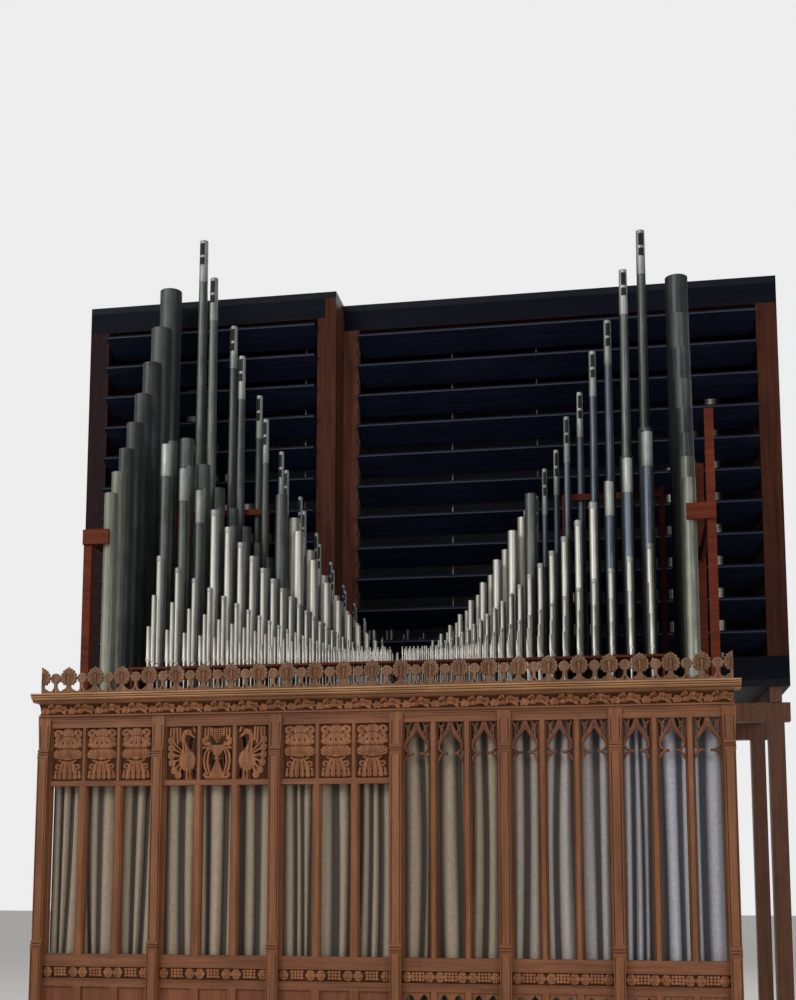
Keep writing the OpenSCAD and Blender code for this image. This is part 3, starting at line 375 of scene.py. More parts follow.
def metalMaterial(name, dark, light, dull, spot, metallic, bump, highlightAndShade):
    material, tree, shader = startMaterial(name)
    metal = useGroup(tree, metalGroup, Dark=dark, Light=light, Dull=dull, Spot=spot, Streak=highlightAndShade)
    tree.links.new(metal.outputs["Color"], shader.inputs["Base Color"])
    tree.links.new(metal.outputs["Roughness"], shader.inputs["Roughness"])
    setInput(shader, "Metallic", metallic)
    addBump(tree, shader, metal.outputs["Height"], bump, metalLook["depth"])
    return material


def clothMaterial(name, base, far, valley):
    material, tree, shader = startMaterial(name)
    cloth = useGroup(tree, clothGroup, Base=base, Far=far, Valley=valley)
    tree.links.new(cloth.outputs["Color"], shader.inputs["Base Color"])
    setInput(shader, "Roughness", clothLook["rough"])
    setInput(shader, "Sheen Weight", clothLook["sheen"][0])
    setInput(shader, "Sheen Roughness", clothLook["sheen"][1])
    addBump(tree, shader, cloth.outputs["Height"], *clothLook["bump"])
    return material


oakEdge = (172, 130, 94)
shadow = {"coat": 0.0, "shine": 0.1}

# Woods: dark and light grain, worn edge, the way the grain runs, and what the finish does besides: wear with
# painted shade in the hollows, coat and shine
woods = {
    "oakUpright": ((107, 63, 36), (139, 91, 58), oakEdge, upright, {}),
    "oakLevel": ((100, 58, 35), (134, 86, 56), oakEdge, level, {}),
    "oakCarved": ((112, 66, 40), (160, 106, 69), oakEdge, upright, {"wearAndShade": 0.8}),
    # dark oak for the carvings' recesses and the cornice's quirks: painted shade, with dark stain in the
    # recesses
    "oakRecess": ((50, 28, 17), (80, 48, 31), oakEdge, upright, shadow),
    "crestRecess": ((92, 54, 38), (122, 76, 54), oakEdge, upright, shadow),
    # painted shade, for the mullions' quirks and deep sides and the posts' beads
    "oakShade": ((60, 34, 21), (90, 54, 35), oakEdge, upright, shadow),
    # oak painted darker for the tracery heads, as shade on them
    "traceryOak": ((86, 50, 33), (124, 78, 53), oakEdge, upright, {}),
    "redOak": ((104, 56, 34), (130, 78, 50), (150, 100, 70), upright, {}),
    "crestOak": ((92, 63, 43), (140, 104, 76), (160, 130, 102), upright, {"wearAndShade": 0.8, "coat": 0.05}),
    # oak painted lighter for the cornice, as light falling on it
    "corniceOak": ((146, 102, 66), (192, 146, 102), (176, 140, 100), level, {}),
    "framePine": ((84, 50, 32), (116, 74, 48), (150, 110, 76), upright, {}),
    "chestPine": ((104, 66, 40), (142, 96, 60), (170, 124, 86), level, {}),
    "rackPine": ((74, 29, 14), (108, 46, 26), (150, 90, 62), level, shadow),
    "windPine": ((78, 54, 36), (118, 86, 60), (150, 116, 84), level, {}),
    "trunkPine": ((78, 54, 36), (118, 86, 60), (150, 116, 84), upright, {}),
    "returnRed": ((50, 27, 19), (86, 52, 38), (110, 70, 50), upright, {"coat": 0.0, "shine": 0.12}),
    "boxBlack": ((15, 16, 23), (27, 28, 38), (60, 56, 60), level, shadow),
    "shadeBlack": ((16, 19, 33), (26, 31, 49), (70, 72, 86), level, {"coat": 0.0, "shine": 0.04}),
    # near black, painted shade for the pipes' slots and the stile's notches
    "holeShade": ((8, 8, 9), (14, 14, 15), (20, 20, 20), upright, {"coat": 0.0}),
}

# Metals: dark and light spots, then dullness, spot size, metallic share, bump, and the strength of the
# painted highlights and shade
metals = {
    "pipeBright": ((184, 180, 169), (238, 234, 223), 0.26, 150.0, 0.5, 0.05, 0.85),
    "pipeTip": ((122, 125, 122), (172, 174, 168), 0.4, 90.0, 0.35, 0.08, 0.45),
    "pipeBass": ((43, 46, 49), (88, 91, 90), 0.36, 190.0, 0.5, 0.1, 0.75),
    # greenish metal, painted lighter as light falling on the front bass pipes
    "pipeGreen": ((90, 93, 83), (148, 150, 136), 0.36, 190.0, 0.5, 0.1, 0.6),
    "pipeZinc": ((64, 68, 68), (118, 122, 117), 0.36, 190.0, 0.5, 0.1, 0.75),
    "pipeBlue": ((66, 75, 84), (120, 131, 142), 0.32, 150.0, 0.5, 0.1, 0.75),
    "rodBrass": ((120, 90, 40), (176, 140, 72), 0.3, 90.0, 0.85, 0.12, 0.0),
    "stayMetal": ((70, 68, 64), (112, 110, 102), 0.35, 90.0, 0.85, 0.12, 0.0),
}
# Cloths: near and far colour, and how much painted shade darkens the folds' valleys
cloths = {
    # the felt's pale colour is a painted highlight on the shades' lit edges
    "feltEdgeHighlight": ((56, 60, 72), (56, 60, 72), 0.0),
    "curtain": ((170, 154, 133), (186, 187, 196), 1.0),
}
swellColors = ((56, 28, 18), (84, 47, 34), (5, 7, 16), (11, 15, 29))

materials = {"stileRed": swellMaterial("stileRed", *(srgb(*color) for color in swellColors))}
for name, (dark, light, edge, grain, finish) in woods.items():
    materials[name] = woodMaterial(name, srgb(*dark), srgb(*light), srgb(*edge), grain, **finish)
for name, (dark, light, *values) in metals.items():
    materials[name] = metalMaterial(name, srgb(*dark), srgb(*light), *values)
for name, (near, far, valley) in cloths.items():
    materials[name] = clothMaterial(name, srgb(*near), srgb(*far), valley)
print("materials made")

# Mesh helpers


class Shape:
    def __init__(self):
        self.verts = []
        self.faces = []
        self.tones = []  # 0 for the main material, 1 for the second
        self.count = 0

    def add(self, verts, faces, tones=0):
        verts = np.asarray(verts, float).reshape(-1, 3)
        self.verts.append(verts)
        self.tones.extend([tones] * len(faces) if isinstance(tones, int) else tones)
        self.faces.extend([tuple(i + self.count for i in face) for face in faces])
        self.count += len(verts)

    def build(self, name, material, smooth=True, angle=40.0, second=None):
        mesh = bpy.data.meshes.new(name)
        mesh.from_pydata(np.concatenate(self.verts).tolist(), [], self.faces)
        mesh.update()
        piece = bpy.data.objects.new(name, mesh)
        scene.collection.objects.link(piece)
        mesh.materials.append(materials[material])
        if second:
            mesh.materials.append(materials[second])
            mesh.polygons.foreach_set("material_index", self.tones)
        if smooth:
            mesh.shade_smooth()
            mesh.set_sharp_from_angle(angle=math.radians(angle))
        return piece


def ringFaces(start, sides, rings, closed=True):
    faces = []
    span = sides if closed else sides - 1
    for r in range(rings - 1):
        a = start + r * sides
        for i in range(span):
            j = (i + 1) % sides
            faces.append((a + i, a + j, a + sides + j, a + sides + i))
    return faces


def lathe(shape, centre, profile, sides, shapeRing=None, cap=True):
    angles = np.linspace(0, 2 * math.pi, sides, endpoint=False) - math.pi / 2
    rings = []
    for index, (radius, z) in enumerate(profile):
        r = np.full(sides, radius)
        if shapeRing:
            r = shapeRing(index, angles, r)
        x = centre[0] + r * np.cos(angles)
        y = centre[1] + r * np.sin(angles)
        rings.append(np.stack([x, y, np.full(sides, z)], 1))
    faces = ringFaces(0, sides, len(profile))
    if cap:
        faces.append(tuple(range(sides))[::-1])
        last = (len(profile) - 1) * sides
        faces.append(tuple(range(last, last + sides)))
    shape.add(np.concatenate(rings), faces)


def addBox(shape, low, high):
    x0, y0, z0 = low
    x1, y1, z1 = high
    verts = [(x, y, z) for z in (z0, z1) for x, y in ((x0, y0), (x1, y0), (x1, y1), (x0, y1))]
    faces = [(0, 3, 2, 1), (4, 5, 6, 7), (0, 1, 5, 4), (1, 2, 6, 5), (2, 3, 7, 6), (3, 0, 4, 7)]
    shape.add(verts, faces)


# A closed bar between two rings of the same outline
def addBar(shape, rings, tones=0, flip=False):
    count = len(rings) // 2
    faces = ringFaces(0, count, 2) + [tuple(range(count))[::-1], tuple(range(count, 2 * count))]
    if flip:
        faces = [face[::-1] for face in faces]
    shape.add(rings, faces, tones)


# A piece that stands still, and the CAD node that it stands for
def fixPiece(piece, nodeName=None):
    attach(piece, body)
    if nodeName:
        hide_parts(nodeName)


# The separate solids of a CAD node, each as its box
def islands(nodeName):
    mesh = frame["nodes"][nodeName].data
    points = np.array([v.co[:] for v in mesh.vertices])
    keys, label = np.unique(np.round(points, 5), axis=0, return_inverse=True)
    label = label.reshape(-1)
    group = np.arange(len(keys))
    edges = np.array([e.vertices[:] for e in mesh.edges])
    a, b = label[edges[:, 0]], label[edges[:, 1]]
    while True:
        low = np.minimum(group[a], group[b])
        before = group.copy()
        np.minimum.at(group, a, low)
        np.minimum.at(group, b, low)
        group = group[group]
        if np.array_equal(before, group):
            break
    found = []
    for g in np.unique(group):
        part = keys[group == g]
        found.append((part.min(0), part.max(0)))
    return found


# A CAD node keeps its shape, and gets a finish and soft edges
edgeForm = {"segments": 2, "angle": 35}


def finishNode(nodeName, material, bevel=0.0):
    node = frame["nodes"][nodeName]
    node.data.materials.clear()
    node.data.materials.append(materials[material])
    if bevel:
        mod = node.modifiers.new("softEdges", "BEVEL")
        mod.width = bevel
        mod.segments = edgeForm["segments"]
        mod.limit_method = "ANGLE"
        mod.angle_limit = math.radians(edgeForm["angle"])


# Pipes: foot, flattened lips round a cut mouth, ears, body and open top
pipeForm = {"mouthHalfAngle": 46, "cutUp": 0.42, "leastCut": 0.0015, "toe": 0.28, "waist": 0.22,
            "lipUp": 2.6, "lipDown": 1.3, "lipToTop": 0.6, "sunk": 0.3, "sunkShare": 0.86, "wall": 0.0014,
            "bead": 0.0006, "sides": ((0.008, 12), (0.02, 16), (1.0, 24)), "earsFrom": 0.009,
            "earThick": 0.04, "earLeast": 0.0008, "earDeep": (0.28, 0.1), "earTall": (0.3, 0.35)}


def addPipe(shape, low, high, foot, taper=1.0):
    cx = (low[0] + high[0]) / 2
    cy = (low[1] + high[1]) / 2
    r = (high[0] - low[0]) / 2
    z0, z1 = low[2], high[2]
    mouth = z0 + foot
    cut = max(pipeForm["cutUp"] * r, pipeForm["leastCut"])
    rTop = r * taper
    wall = min(pipeForm["wall"], r * 0.25)
    bead = min(pipeForm["bead"], r * 0.1)
    sides = next(count for limit, count in pipeForm["sides"] if r < limit)
    half = math.radians(pipeForm["mouthHalfAngle"])
    lipTop = min(mouth + cut + pipeForm["lipUp"] * r, z1 - r * pipeForm["lipToTop"])
    lipRadius = r + (rTop - r) * max(0.0, (lipTop - mouth) / (z1 - mouth))
    waist = (r * (1 - pipeForm["waist"] * pipeForm["lipDown"]), mouth - pipeForm["lipDown"] * r)
    profile = [
        (r * pipeForm["toe"], z0), waist, (r, mouth), (r, mouth), (r, mouth + cut), (r, mouth + cut),
        (lipRadius, lipTop), (rTop, z1 - 3 * bead), (rTop + bead, z1 - 1.5 * bead), (rTop, z1),
        (rTop - wall, z1), (rTop - wall, z1 - 2.5 * rTop)]
    lips = (2, 5)  # the rings that are flattened in front
    slit = (3, 4)  # the rings that are pushed in to cut the mouth

    def bend(index, angles, radii):
        off = np.abs((angles + math.pi / 2 + math.pi) % (2 * math.pi) - math.pi)
        front = off < half
        if index in lips:
            chord = radii * math.cos(half) / np.maximum(np.cos(off), 0.2)
            radii = np.where(front, chord, radii)
        if index in slit:
            chord = np.where(front, radii * math.cos(half) / np.cos(off), radii)
            radii = np.where(off < half * pipeForm["sunkShare"], radii * pipeForm["sunk"], chord)
        return radii

    lathe(shape, (cx, cy), profile, sides, bend)
    if r > pipeForm["earsFrom"]:
        earX = r * math.sin(half)
        earY = cy - r * math.cos(half)
        t = max(pipeForm["earLeast"], r * pipeForm["earThick"])
        ahead, behind = pipeForm["earDeep"]
        down, up = pipeForm["earTall"]
        for x in (cx - earX, cx + earX):
            earLow = (x - t, earY - r * ahead, mouth - r * down)
            addBox(shape, earLow, (x + t, earY + r * behind, mouth + cut + r * up))


rankForm = {"greatFoot": 0.185, "swellFoot": 0.15, "violaTaper": 0.62, "zincTrebles": 6, "zincLows": 2,
            "greyTips": 4, "greenFrom": 12}
slideForm = {"drop": 1.68, "least": 0.022, "most": 0.085, "clear": 0.0009, "thin": 0.004, "long": 0.2,
             "fromTop": 0.0002, "lip": 0.0005, "chamfer": 0.001, "inner": (0.0012, 0.6), "sides": 20}


# A rank's pipes, longest first, as their boxes
def rankPipes(nodeName):
    return sorted(islands(nodeName), key=lambda part: -part[1][2])


def makeRank(name, nodeName, material, foot, taper, chosen):
    shape = Shape()
    for order, (low, high) in enumerate(rankPipes(nodeName)):
        if chosen is None or chosen(order, low[0]):
            addPipe(shape, low, high, foot, taper)
    fixPiece(shape.build(name, material, angle=50), nodeName)


# Tuning slides round the pipes' tops
def makeSlides(name, nodeName, material, longest=0):
    shape = Shape()
    lip, chamfer = slideForm["lip"], slideForm["chamfer"]
    skin, share = slideForm["inner"]
    for order, (low, high) in enumerate(rankPipes(nodeName)):
        r = (high[0] - low[0]) / 2
        if r <= slideForm["thin"]:
            continue
        length = min(max(slideForm["drop"] * r, slideForm["least"]), slideForm["most"])
        if order < longest:
            length = slideForm["long"]
        z1 = high[2] - slideForm["fromTop"]
        z0 = z1 - length
        outer = r + slideForm["clear"]
        profile = [(outer, z0), (outer + lip, z0 + chamfer), (outer + lip, z1 - chamfer), (outer, z1),
                   (r - skin, z1), (r - skin, z0 + length * share)]
        centre = ((low[0] + high[0]) / 2, (low[1] + high[1]) / 2)
        lathe(shape, centre, profile, slideForm["sides"], cap=False)
    fixPiece(shape.build(name, material, angle=50))


# Ranks: the piece, its CAD node, its metal, and which of the rank's pipes it takes
ranks = (
    ("mixturePipes", "mixture", "pipeBright", None),
    ("fifteenthPipes", "fifteenth", "pipeBright", None),
    ("principalLeft", "principal", "pipeZinc", lambda order, x: order < rankForm["zincTrebles"] and x < 0),
    ("principalRight", "principal", "pipeBlue", lambda order, x: order < rankForm["zincTrebles"] and x >= 0),
    ("principalPipes", "principal", "pipeBright", lambda order, x: order >= rankForm["zincTrebles"]),
    ("octavePipes", "octave", "pipeZinc", None),
    ("flutePipes", "stopped_flute", "pipeZinc", None),
    ("diapasonLow", "open_diapason", "pipeZinc", lambda order, x: order < rankForm["zincLows"]),
    ("diapasonPipes", "open_diapason", "pipeBright", lambda order, x: order >= rankForm["zincLows"]),
    ("violaGrey", "viola", "pipeZinc", lambda order, x: x < 0 or order < rankForm["greyTips"]),
    ("violaBlue", "viola", "pipeBlue", lambda order, x: x >= 0 and order >= rankForm["greyTips"]),
    ("bassPipes", "bass_pipes", "pipeBass", lambda order, x: order < rankForm["greenFrom"]),
    # the front bass pipes take the lighter greenish metal, partly painted light
    ("bassFronts", "bass_pipes", "pipeGreen", lambda order, x: order >= rankForm["greenFrom"]),
    ("swellPipes", "swell_pipes", "pipeBright", None),
)
for name, nodeName, material, chosen in ranks:
    foot = rankForm["swellFoot" if nodeName == "swell_pipes" else "greatFoot"]
    taper = rankForm["violaTaper"] if nodeName == "viola" else 1.0
    makeRank(name, nodeName, material, foot, taper, chosen)
makeSlides("principalSlides", "principal", "pipeTip", rankForm["zincTrebles"])
makeSlides("fifteenthSlides", "fifteenth", "pipeTip")
print("pipes made")

# Viola tips: a pale sleeve at the top of each pipe, with a long and a short slot
tipForm = {"length": 0.29, "full": 0.9, "least": 0.25, "fromTop": 0.022, "slots": (0.082, 0.052),
           "gap": 0.016, "halfAngle": 35, "turn": 9, "skin": 0.0008, "proud": 0.0009, "slotsFrom": 0.006,
           "sides": 24, "columns": 7}


def makeViolaTips():
    shape = Shape()
    slots = Shape()
    skin, columns = tipForm["skin"], tipForm["columns"]
    for low, high in islands("viola"):
        cx, cy = (low[0] + high[0]) / 2, (low[1] + high[1]) / 2
        r0 = (high[0] - low[0]) / 2
        bodyLength = high[2] - low[2] - rankForm["greatFoot"]
        r = r0 * rankForm["violaTaper"]
        scale = min(1.0, bodyLength / tipForm["full"])
        length = tipForm["length"] * max(scale, tipForm["least"])
        grow = (r0 - r) / bodyLength
        z1 = high[2] - 0.0003
        z0 = z1 - length
        rLow = r + grow * length
        profile = [(rLow + 0.0001, z0 - 0.001), (rLow + skin, z0), (r + grow * 0.006 + skin, z1 - 0.006),
                   (r + skin, z1 - 0.002), (r + skin * 0.3, z1), (r - 0.0016, z1), (r - 0.0016, z1 - 2 * r)]
        lathe(shape, (cx, cy), profile, tipForm["sides"], cap=False)
        if r < tipForm["slotsFrom"]:
            continue
        top = z1 - tipForm["fromTop"] * scale
        turn = math.copysign(tipForm["turn"], cx)
        angles = np.radians(np.linspace(-tipForm["halfAngle"], tipForm["halfAngle"], columns) + turn)
        for slot in tipForm["slots"]:
            bottom = top - slot * scale
            ring = []
            for z in (bottom, top):
                reach = r + grow * (z1 - z) + skin + tipForm["proud"]
                ring += [(cx + reach * math.sin(a), cy - reach * math.cos(a), z) for a in angles]
            slots.add(ring, ringFaces(0, columns, 2, closed=False))
            top = bottom - tipForm["gap"] * scale
    fixPiece(shape.build("violaTips", "pipeTip", angle=50))
    # the slots are dark sheets on the sleeve, painted shade for the openings
    fixPiece(slots.build("violaSlots", "holeShade", smooth=False))


makeViolaTips()
print("viola tips made")

# Curtains: gathered sheets with rounded folds and deep valleys between, hung behind the openings
curtainForm = {"least": 0.045, "most": 0.125, "sizes": (0.75, 1.0, 1.15), "front": 0.012, "back": 0.022,
               "columns": 420, "rows": 30, "lean": 0.014, "depth": (0.6, 1.0), "skew": 0.35,
               "ripples": ((0.0012, 130, 3), (0.0009, 57, -2)), "seed": 20}


def makeCurtain(name, nodeName, low, high, seed):
    draw = np.random.default_rng(seed)
    columns, rows = curtainForm["columns"], curtainForm["rows"]
    width = high[0] - low[0]
    drop = high[2] - low[2]
    mid = (low[1] + high[1]) / 2
    edges = [0.0]
    while edges[-1] < width:
        fold = draw.uniform(curtainForm["least"], curtainForm["most"])
        edges.append(edges[-1] + fold * draw.choice(curtainForm["sizes"]))
    edges = np.array(edges) * width / edges[-1]
    folds = len(edges) - 1
    depth = draw.uniform(*curtainForm["depth"], folds)
    skew = draw.uniform(-curtainForm["skew"], curtainForm["skew"], folds)
    # each valley leans a little on its way down
    lean = np.concatenate([[0], draw.normal(0, curtainForm["lean"], folds - 1), [0]])
    bow = np.concatenate([[0], draw.normal(0, curtainForm["lean"] * 0.5, folds - 1), [0]])
    fine = draw.uniform(0, 6.28, 4)
    u = np.linspace(0, width, columns)
    reach = curtainForm["back"] + curtainForm["front"]
    verts = []
    for row in range(rows):
        t = row / (rows - 1)
        now = np.sort(edges + lean * (t - 0.3) + bow * math.sin(math.pi * t))
        now[0], now[-1] = 0, width
        k = np.clip(np.searchsorted(now, u, side="right") - 1, 0, folds - 1)
        size = np.maximum(now[k + 1] - now[k], 0.004)
        share = np.clip((u - now[k]) / size, 0, 1)
        crown = np.clip(share + skew[k] * share * (1 - share), 0, 1)
        arch = np.clip(1.6 * np.sin(math.pi * crown) ** 0.9 - 0.6, 0, 1)  # a round fold, then a flat valley
        # folds deepen towards the foot, and narrow ones stand out less
        amount = depth[k] * (0.7 + 0.3 * t) * np.clip(size / curtainForm["least"], 0.5, 1.15)
        ripple = sum(tall * np.sin(u * rate + begin + drift * t)
                     for (tall, rate, drift), begin in zip(curtainForm["ripples"], fine))
        y = mid + curtainForm["back"] - reach * arch * amount + ripple
        z = np.full(columns, high[2] - drop * t)
        verts.append(np.stack([low[0] + u, y, z], 1))
    shape = Shape()
    shape.add(np.concatenate(verts), ringFaces(0, columns, rows, closed=False))
    piece = shape.build(name, "curtain", angle=180)
    fixPiece(piece, nodeName)


for nodeName in ("upper_curtains", "lower_curtains"):
    parts = sorted(islands(nodeName), key=lambda part: part[0][0])
    for number, (low, high) in enumerate(parts):
        makeCurtain(f"{nodeName}_{number + 1}", nodeName, low, high, curtainForm["seed"] + number)
print("curtains hung")

# Carving: each relief is drawn in millimetres, from the left edge or the centre line and down from the
# top, then cut out along its outline


class Relief:
    def __init__(self, width, height, step, folded=False, solid=False, spread=1.0):
        self.columns = int(round(width / step)) + 1
        rows = int(round(height / step)) + 1
        self.X, self.Z = np.meshgrid(np.linspace(0, width, self.columns), np.linspace(0, height, rows))
        across = np.abs(self.X - width / 2) if folded else self.X  # folded: both halves are drawn at once
        self.U = across / spread
        self.T = height - self.Z
        self.height = np.zeros(self.X.shape)
        self.solid = np.full(self.X.shape, 1.0 if solid else -1.0)

    # Forms are above 0 inside, and 1 along the middle
    def dome(self, x, t, rx, rt=None, turn=0.0):
        rt = rt or rx
        c, s = math.cos(math.radians(turn)), math.sin(math.radians(turn))
        u = ((self.U - x) * c + (self.T - t) * s) / rx
        v = ((self.T - t) * c - (self.U - x) * s) / rt
        return 1 - u * u - v * v

    def ridge(self, points, width=None):
        best = np.full(self.X.shape, -9.0)
        points = [p if len(p) > 2 else (*p, width) for p in points]
        for (x0, t0, w0), (x1, t1, w1) in zip(points, points[1:]):
            dx, dt = x1 - x0, t1 - t0
            share = np.clip(((self.U - x0) * dx + (self.T - t0) * dt) / (dx * dx + dt * dt), 0, 1)
            away = np.hypot(self.U - x0 - share * dx, self.T - t0 - share * dt)
            best = np.maximum(best, 1 - (away / (w0 + (w1 - w0) * share)) ** 2)
        return best

    def turned(self, points):  # a form with a half width at each level
        levels, widths = zip(*points)
        half = np.interp(self.T, levels, widths)
        inside = 1 - (self.U / np.maximum(half, 0.01)) ** 2
        return np.where((self.T < levels[0]) | (self.T > levels[-1]), -1.0, inside)

    def put(self, form, base, rise, power=0.5):
        face = base + rise * np.clip(form, 0, 1) ** power
        self.height = np.where(form > 0, np.maximum(self.height, face), self.height)
        self.solid = np.maximum(self.solid, form)

    def sink(self, form, depth, power=0.5):
        floor = np.maximum(self.height - depth * np.clip(form, 0, 1) ** power, 0)
        self.height = np.where(form > 0, floor, self.height)

    def open(self, form):
        self.solid = np.minimum(self.solid, -form)

    def scroll(self, x, t, r, start, sweep, width, base, rise, grow=0.25):
        points = []
        for k in range(15):
            share = k / 14
            a = math.radians(start + sweep * share)
            reach = r * (1 - (1 - grow) * share)
            points.append((x + reach * math.cos(a), t + reach * math.sin(a), width * (1 - 0.35 * share)))
        self.put(self.ridge(points), base, rise)

    def leaf(self, x, t, r, turn, base, rise, lobes=5):
        angles = [math.radians(turn + (k - (lobes - 1) / 2) * 250 / lobes) for k in range(lobes)]
        for k, a in enumerate(angles):
            size = r * (0.52 if k % 2 == 0 else 0.44)
            across, down = x + 0.56 * r * math.cos(a), t + 0.56 * r * math.sin(a)
            self.put(self.dome(across, down, size, size * 0.8, math.degrees(a)), base, rise)
        root = (x - 0.2 * r * math.cos(math.radians(turn)), t - 0.2 * r * math.sin(math.radians(turn)), 1.8)
        for a in angles:
            self.sink(self.ridge([root, (x + 0.9 * r * math.cos(a), t + 0.9 * r * math.sin(a), 0.9)]), 2.6)

    def grapes(self, x, t, counts, r, base, rise):
        for row, count in enumerate(counts):
            for k in range(count):
                across = (k - (count - 1) / 2) * 1.9 * r
                self.put(self.dome(x + across, t + row * 1.75 * r, r), base, rise)

    # The mesh, in metres: faceAt and rearAt give depth from height and level
    def mesh(self, faceAt, rearAt, rear=True, recess=1.6):
        columns = self.columns
        field = np.where(np.abs(self.solid) < 1e-3, 1e-3, self.solid)
        inside = field > 0
        whole = inside[:-1, :-1] & inside[:-1, 1:] & inside[1:, 1:] & inside[1:, :-1]
        touched = (inside[:-1, :-1] | inside[:-1, 1:] | inside[1:, 1:] | inside[1:, :-1]) & ~whole
        face = np.stack([self.X * mm, faceAt(self.height, self.Z), self.Z * mm], 2).reshape(-1, 3)
        back = np.stack([self.X * mm, rearAt(self.height, self.Z), self.Z * mm], 2).reshape(-1, 3)
        values, flags = field.reshape(-1), inside.reshape(-1)
        count = len(face)
        cuts, cutFace, cutBack = {}, [], []

        def cutEdge(a, b):
            key = (a, b) if a < b else (b, a)
            if key not in cuts:
                share = values[key[0]] / (values[key[0]] - values[key[1]])
                cuts[key] = count + len(cutFace)
                cutFace.append(face[key[0]] * (1 - share) + face[key[1]] * share)
                cutBack.append(back[key[0]] * (1 - share) + back[key[1]] * share)
            return cuts[key]

        r, c = np.nonzero(whole)
        faces = [(a, a + 1, a + columns + 1, a + columns) for a in (r * columns + c).tolist()]
        walls = []
        r, c = np.nonzero(touched)
        for a in (r * columns + c).tolist():
            corners = (a, a + 1, a + columns + 1, a + columns)
            ring = []
            for p, q in zip(corners, corners[1:] + corners[:1]):
                if flags[p]:
                    ring.append(p)
                if flags[p] != flags[q]:
                    ring.append(cutEdge(p, q))
            faces.append(tuple(ring))
            walls += [(p, q) for p, q in zip(ring, ring[1:] + ring[:1]) if p >= count and q >= count]
        # Faces low in the relief, and the cut walls, take the second material: painted shade, with dark
        # stain, in the recesses
        levels = self.height.reshape(-1)
        tones = []
        for ring in faces:
            own = [levels[i] for i in ring if i < count]
            tones.append(1 if sum(own) < recess * max(1, len(own)) else 0)
        tones += [1] * len(walls)
        front = np.concatenate([face, np.array(cutFace).reshape(-1, 3)])
        behind = np.concatenate([back, np.array(cutBack).reshape(-1, 3)])
        total = len(front)
        everything = list(faces)
        everything += [(q, p, p + total, q + total) for p, q in walls]
        if rear:
            everything += [tuple(i + total for i in ring[::-1]) for ring in faces]
            tones += [0] * len(faces)
        verts = np.concatenate([front, behind])
        used = np.unique(np.concatenate([np.array(ring) for ring in everything]))
        renamed = np.full(len(verts), -1)
        renamed[used] = np.arange(len(used))
        renamed = renamed.tolist()
        return verts[used], [tuple(renamed[i] for i in ring) for ring in everything], tones


def stamp(shape, mesh, x, y, z, mirrorWidth=None):
    verts, faces, tones = mesh
    verts = verts.copy()
    if mirrorWidth is not None:
        verts[:, 0] = mirrorWidth - verts[:, 0]
        faces = [ring[::-1] for ring in faces]
    shape.add(verts + np.array([x, y, z]), faces, tones)


# One side of a mullion, as shares of its half width: a flat fillet, a quirk, a hollow and the deep side;
# then its faces painted in shade, and how far a jamb stands back
barForm = {"side": ((0.50, 0.0), (0.52, 0.20), (0.64, 0.24), (0.72, 0.42), (0.85, 0.66), (0.88, 0.84),
                    (1.0, 0.88)), "shade": (0, 1, 4, 5), "jambSet": 0.003}


def addMullion(shape, x, half, low, high):
    right = [(x + half * across, low.y + half * deep) for across, deep in barForm["side"]]
    left = [(2 * x - px, py) for px, py in right[::-1]]
    outline = right + [(x + half, high.y), (x - half, high.y)] + left
    count, shade = len(outline), barForm["shade"]
    tones = [1 if i in shade or count - 2 - i in shade else 0 for i in range(count)]
    addBar(shape, [(px, py, z) for z in (low.z, high.z) for px, py in outline], tones + [0, 0])


# A jamb is half a mullion, against a post
def addJamb(shape, post, light, low, high):
    wide = light - post
    front = low.y + barForm["jambSet"]
    outline = [(post + wide * across, front + abs(wide) * deep) for across, deep in barForm["side"]]
    outline = [(post, front)] + outline + [(light, high.y), (post, high.y)]
    tones = [1 if i - 1 in barForm["shade"] else 0 for i in range(len(outline))]
    rings = [(px, py, z) for z in (low.z, high.z) for px, py in outline]
    addBar(shape, rings, tones + [0, 0], flip=wide < 0)


# A row of bays: one bay's width, one light's width, and for each bay its start and its lights' starts
def bayPlaces(low, high, form):
    bay = (high.x - low.x - (form["bays"] - 1) * form["post"]) / form["bays"]
    light = (bay - 2 * form["jamb"] - 2 * form["mullion"]) / 3
    places = []
    for i in range(form["bays"]):
        start = low.x + i * (bay + form["post"])
        places.append((start, [start + form["jamb"] + j * (light + form["mullion"]) for j in range(3)]))
    return bay, light, places


def makeBayBars(name, nodeName, form):
    low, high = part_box(nodeName)
    bay, light, places = bayPlaces(low, high, form)
    bars = Shape()
    half = form["mullion"] / 2
    for start, lights in places:
        for x in lights[:2]:
            addMullion(bars, x + light + half, half, low, high)
        addJamb(bars, start, start + form["jamb"], low, high)
        addJamb(bars, start + bay, start + bay - form["jamb"], low, high)
    fixPiece(bars.build(name, "oakUpright", smooth=False, second="oakShade"), nodeName)


# Carved panels over the left lights; the middle bay's are pierced
panelForm = {"step": 2.2, "relief": 17.0, "set": 0.0008, "back": 0.028, "bays": 3, "post": 0.057,
             "jamb": 0.018, "mullion": 0.032}


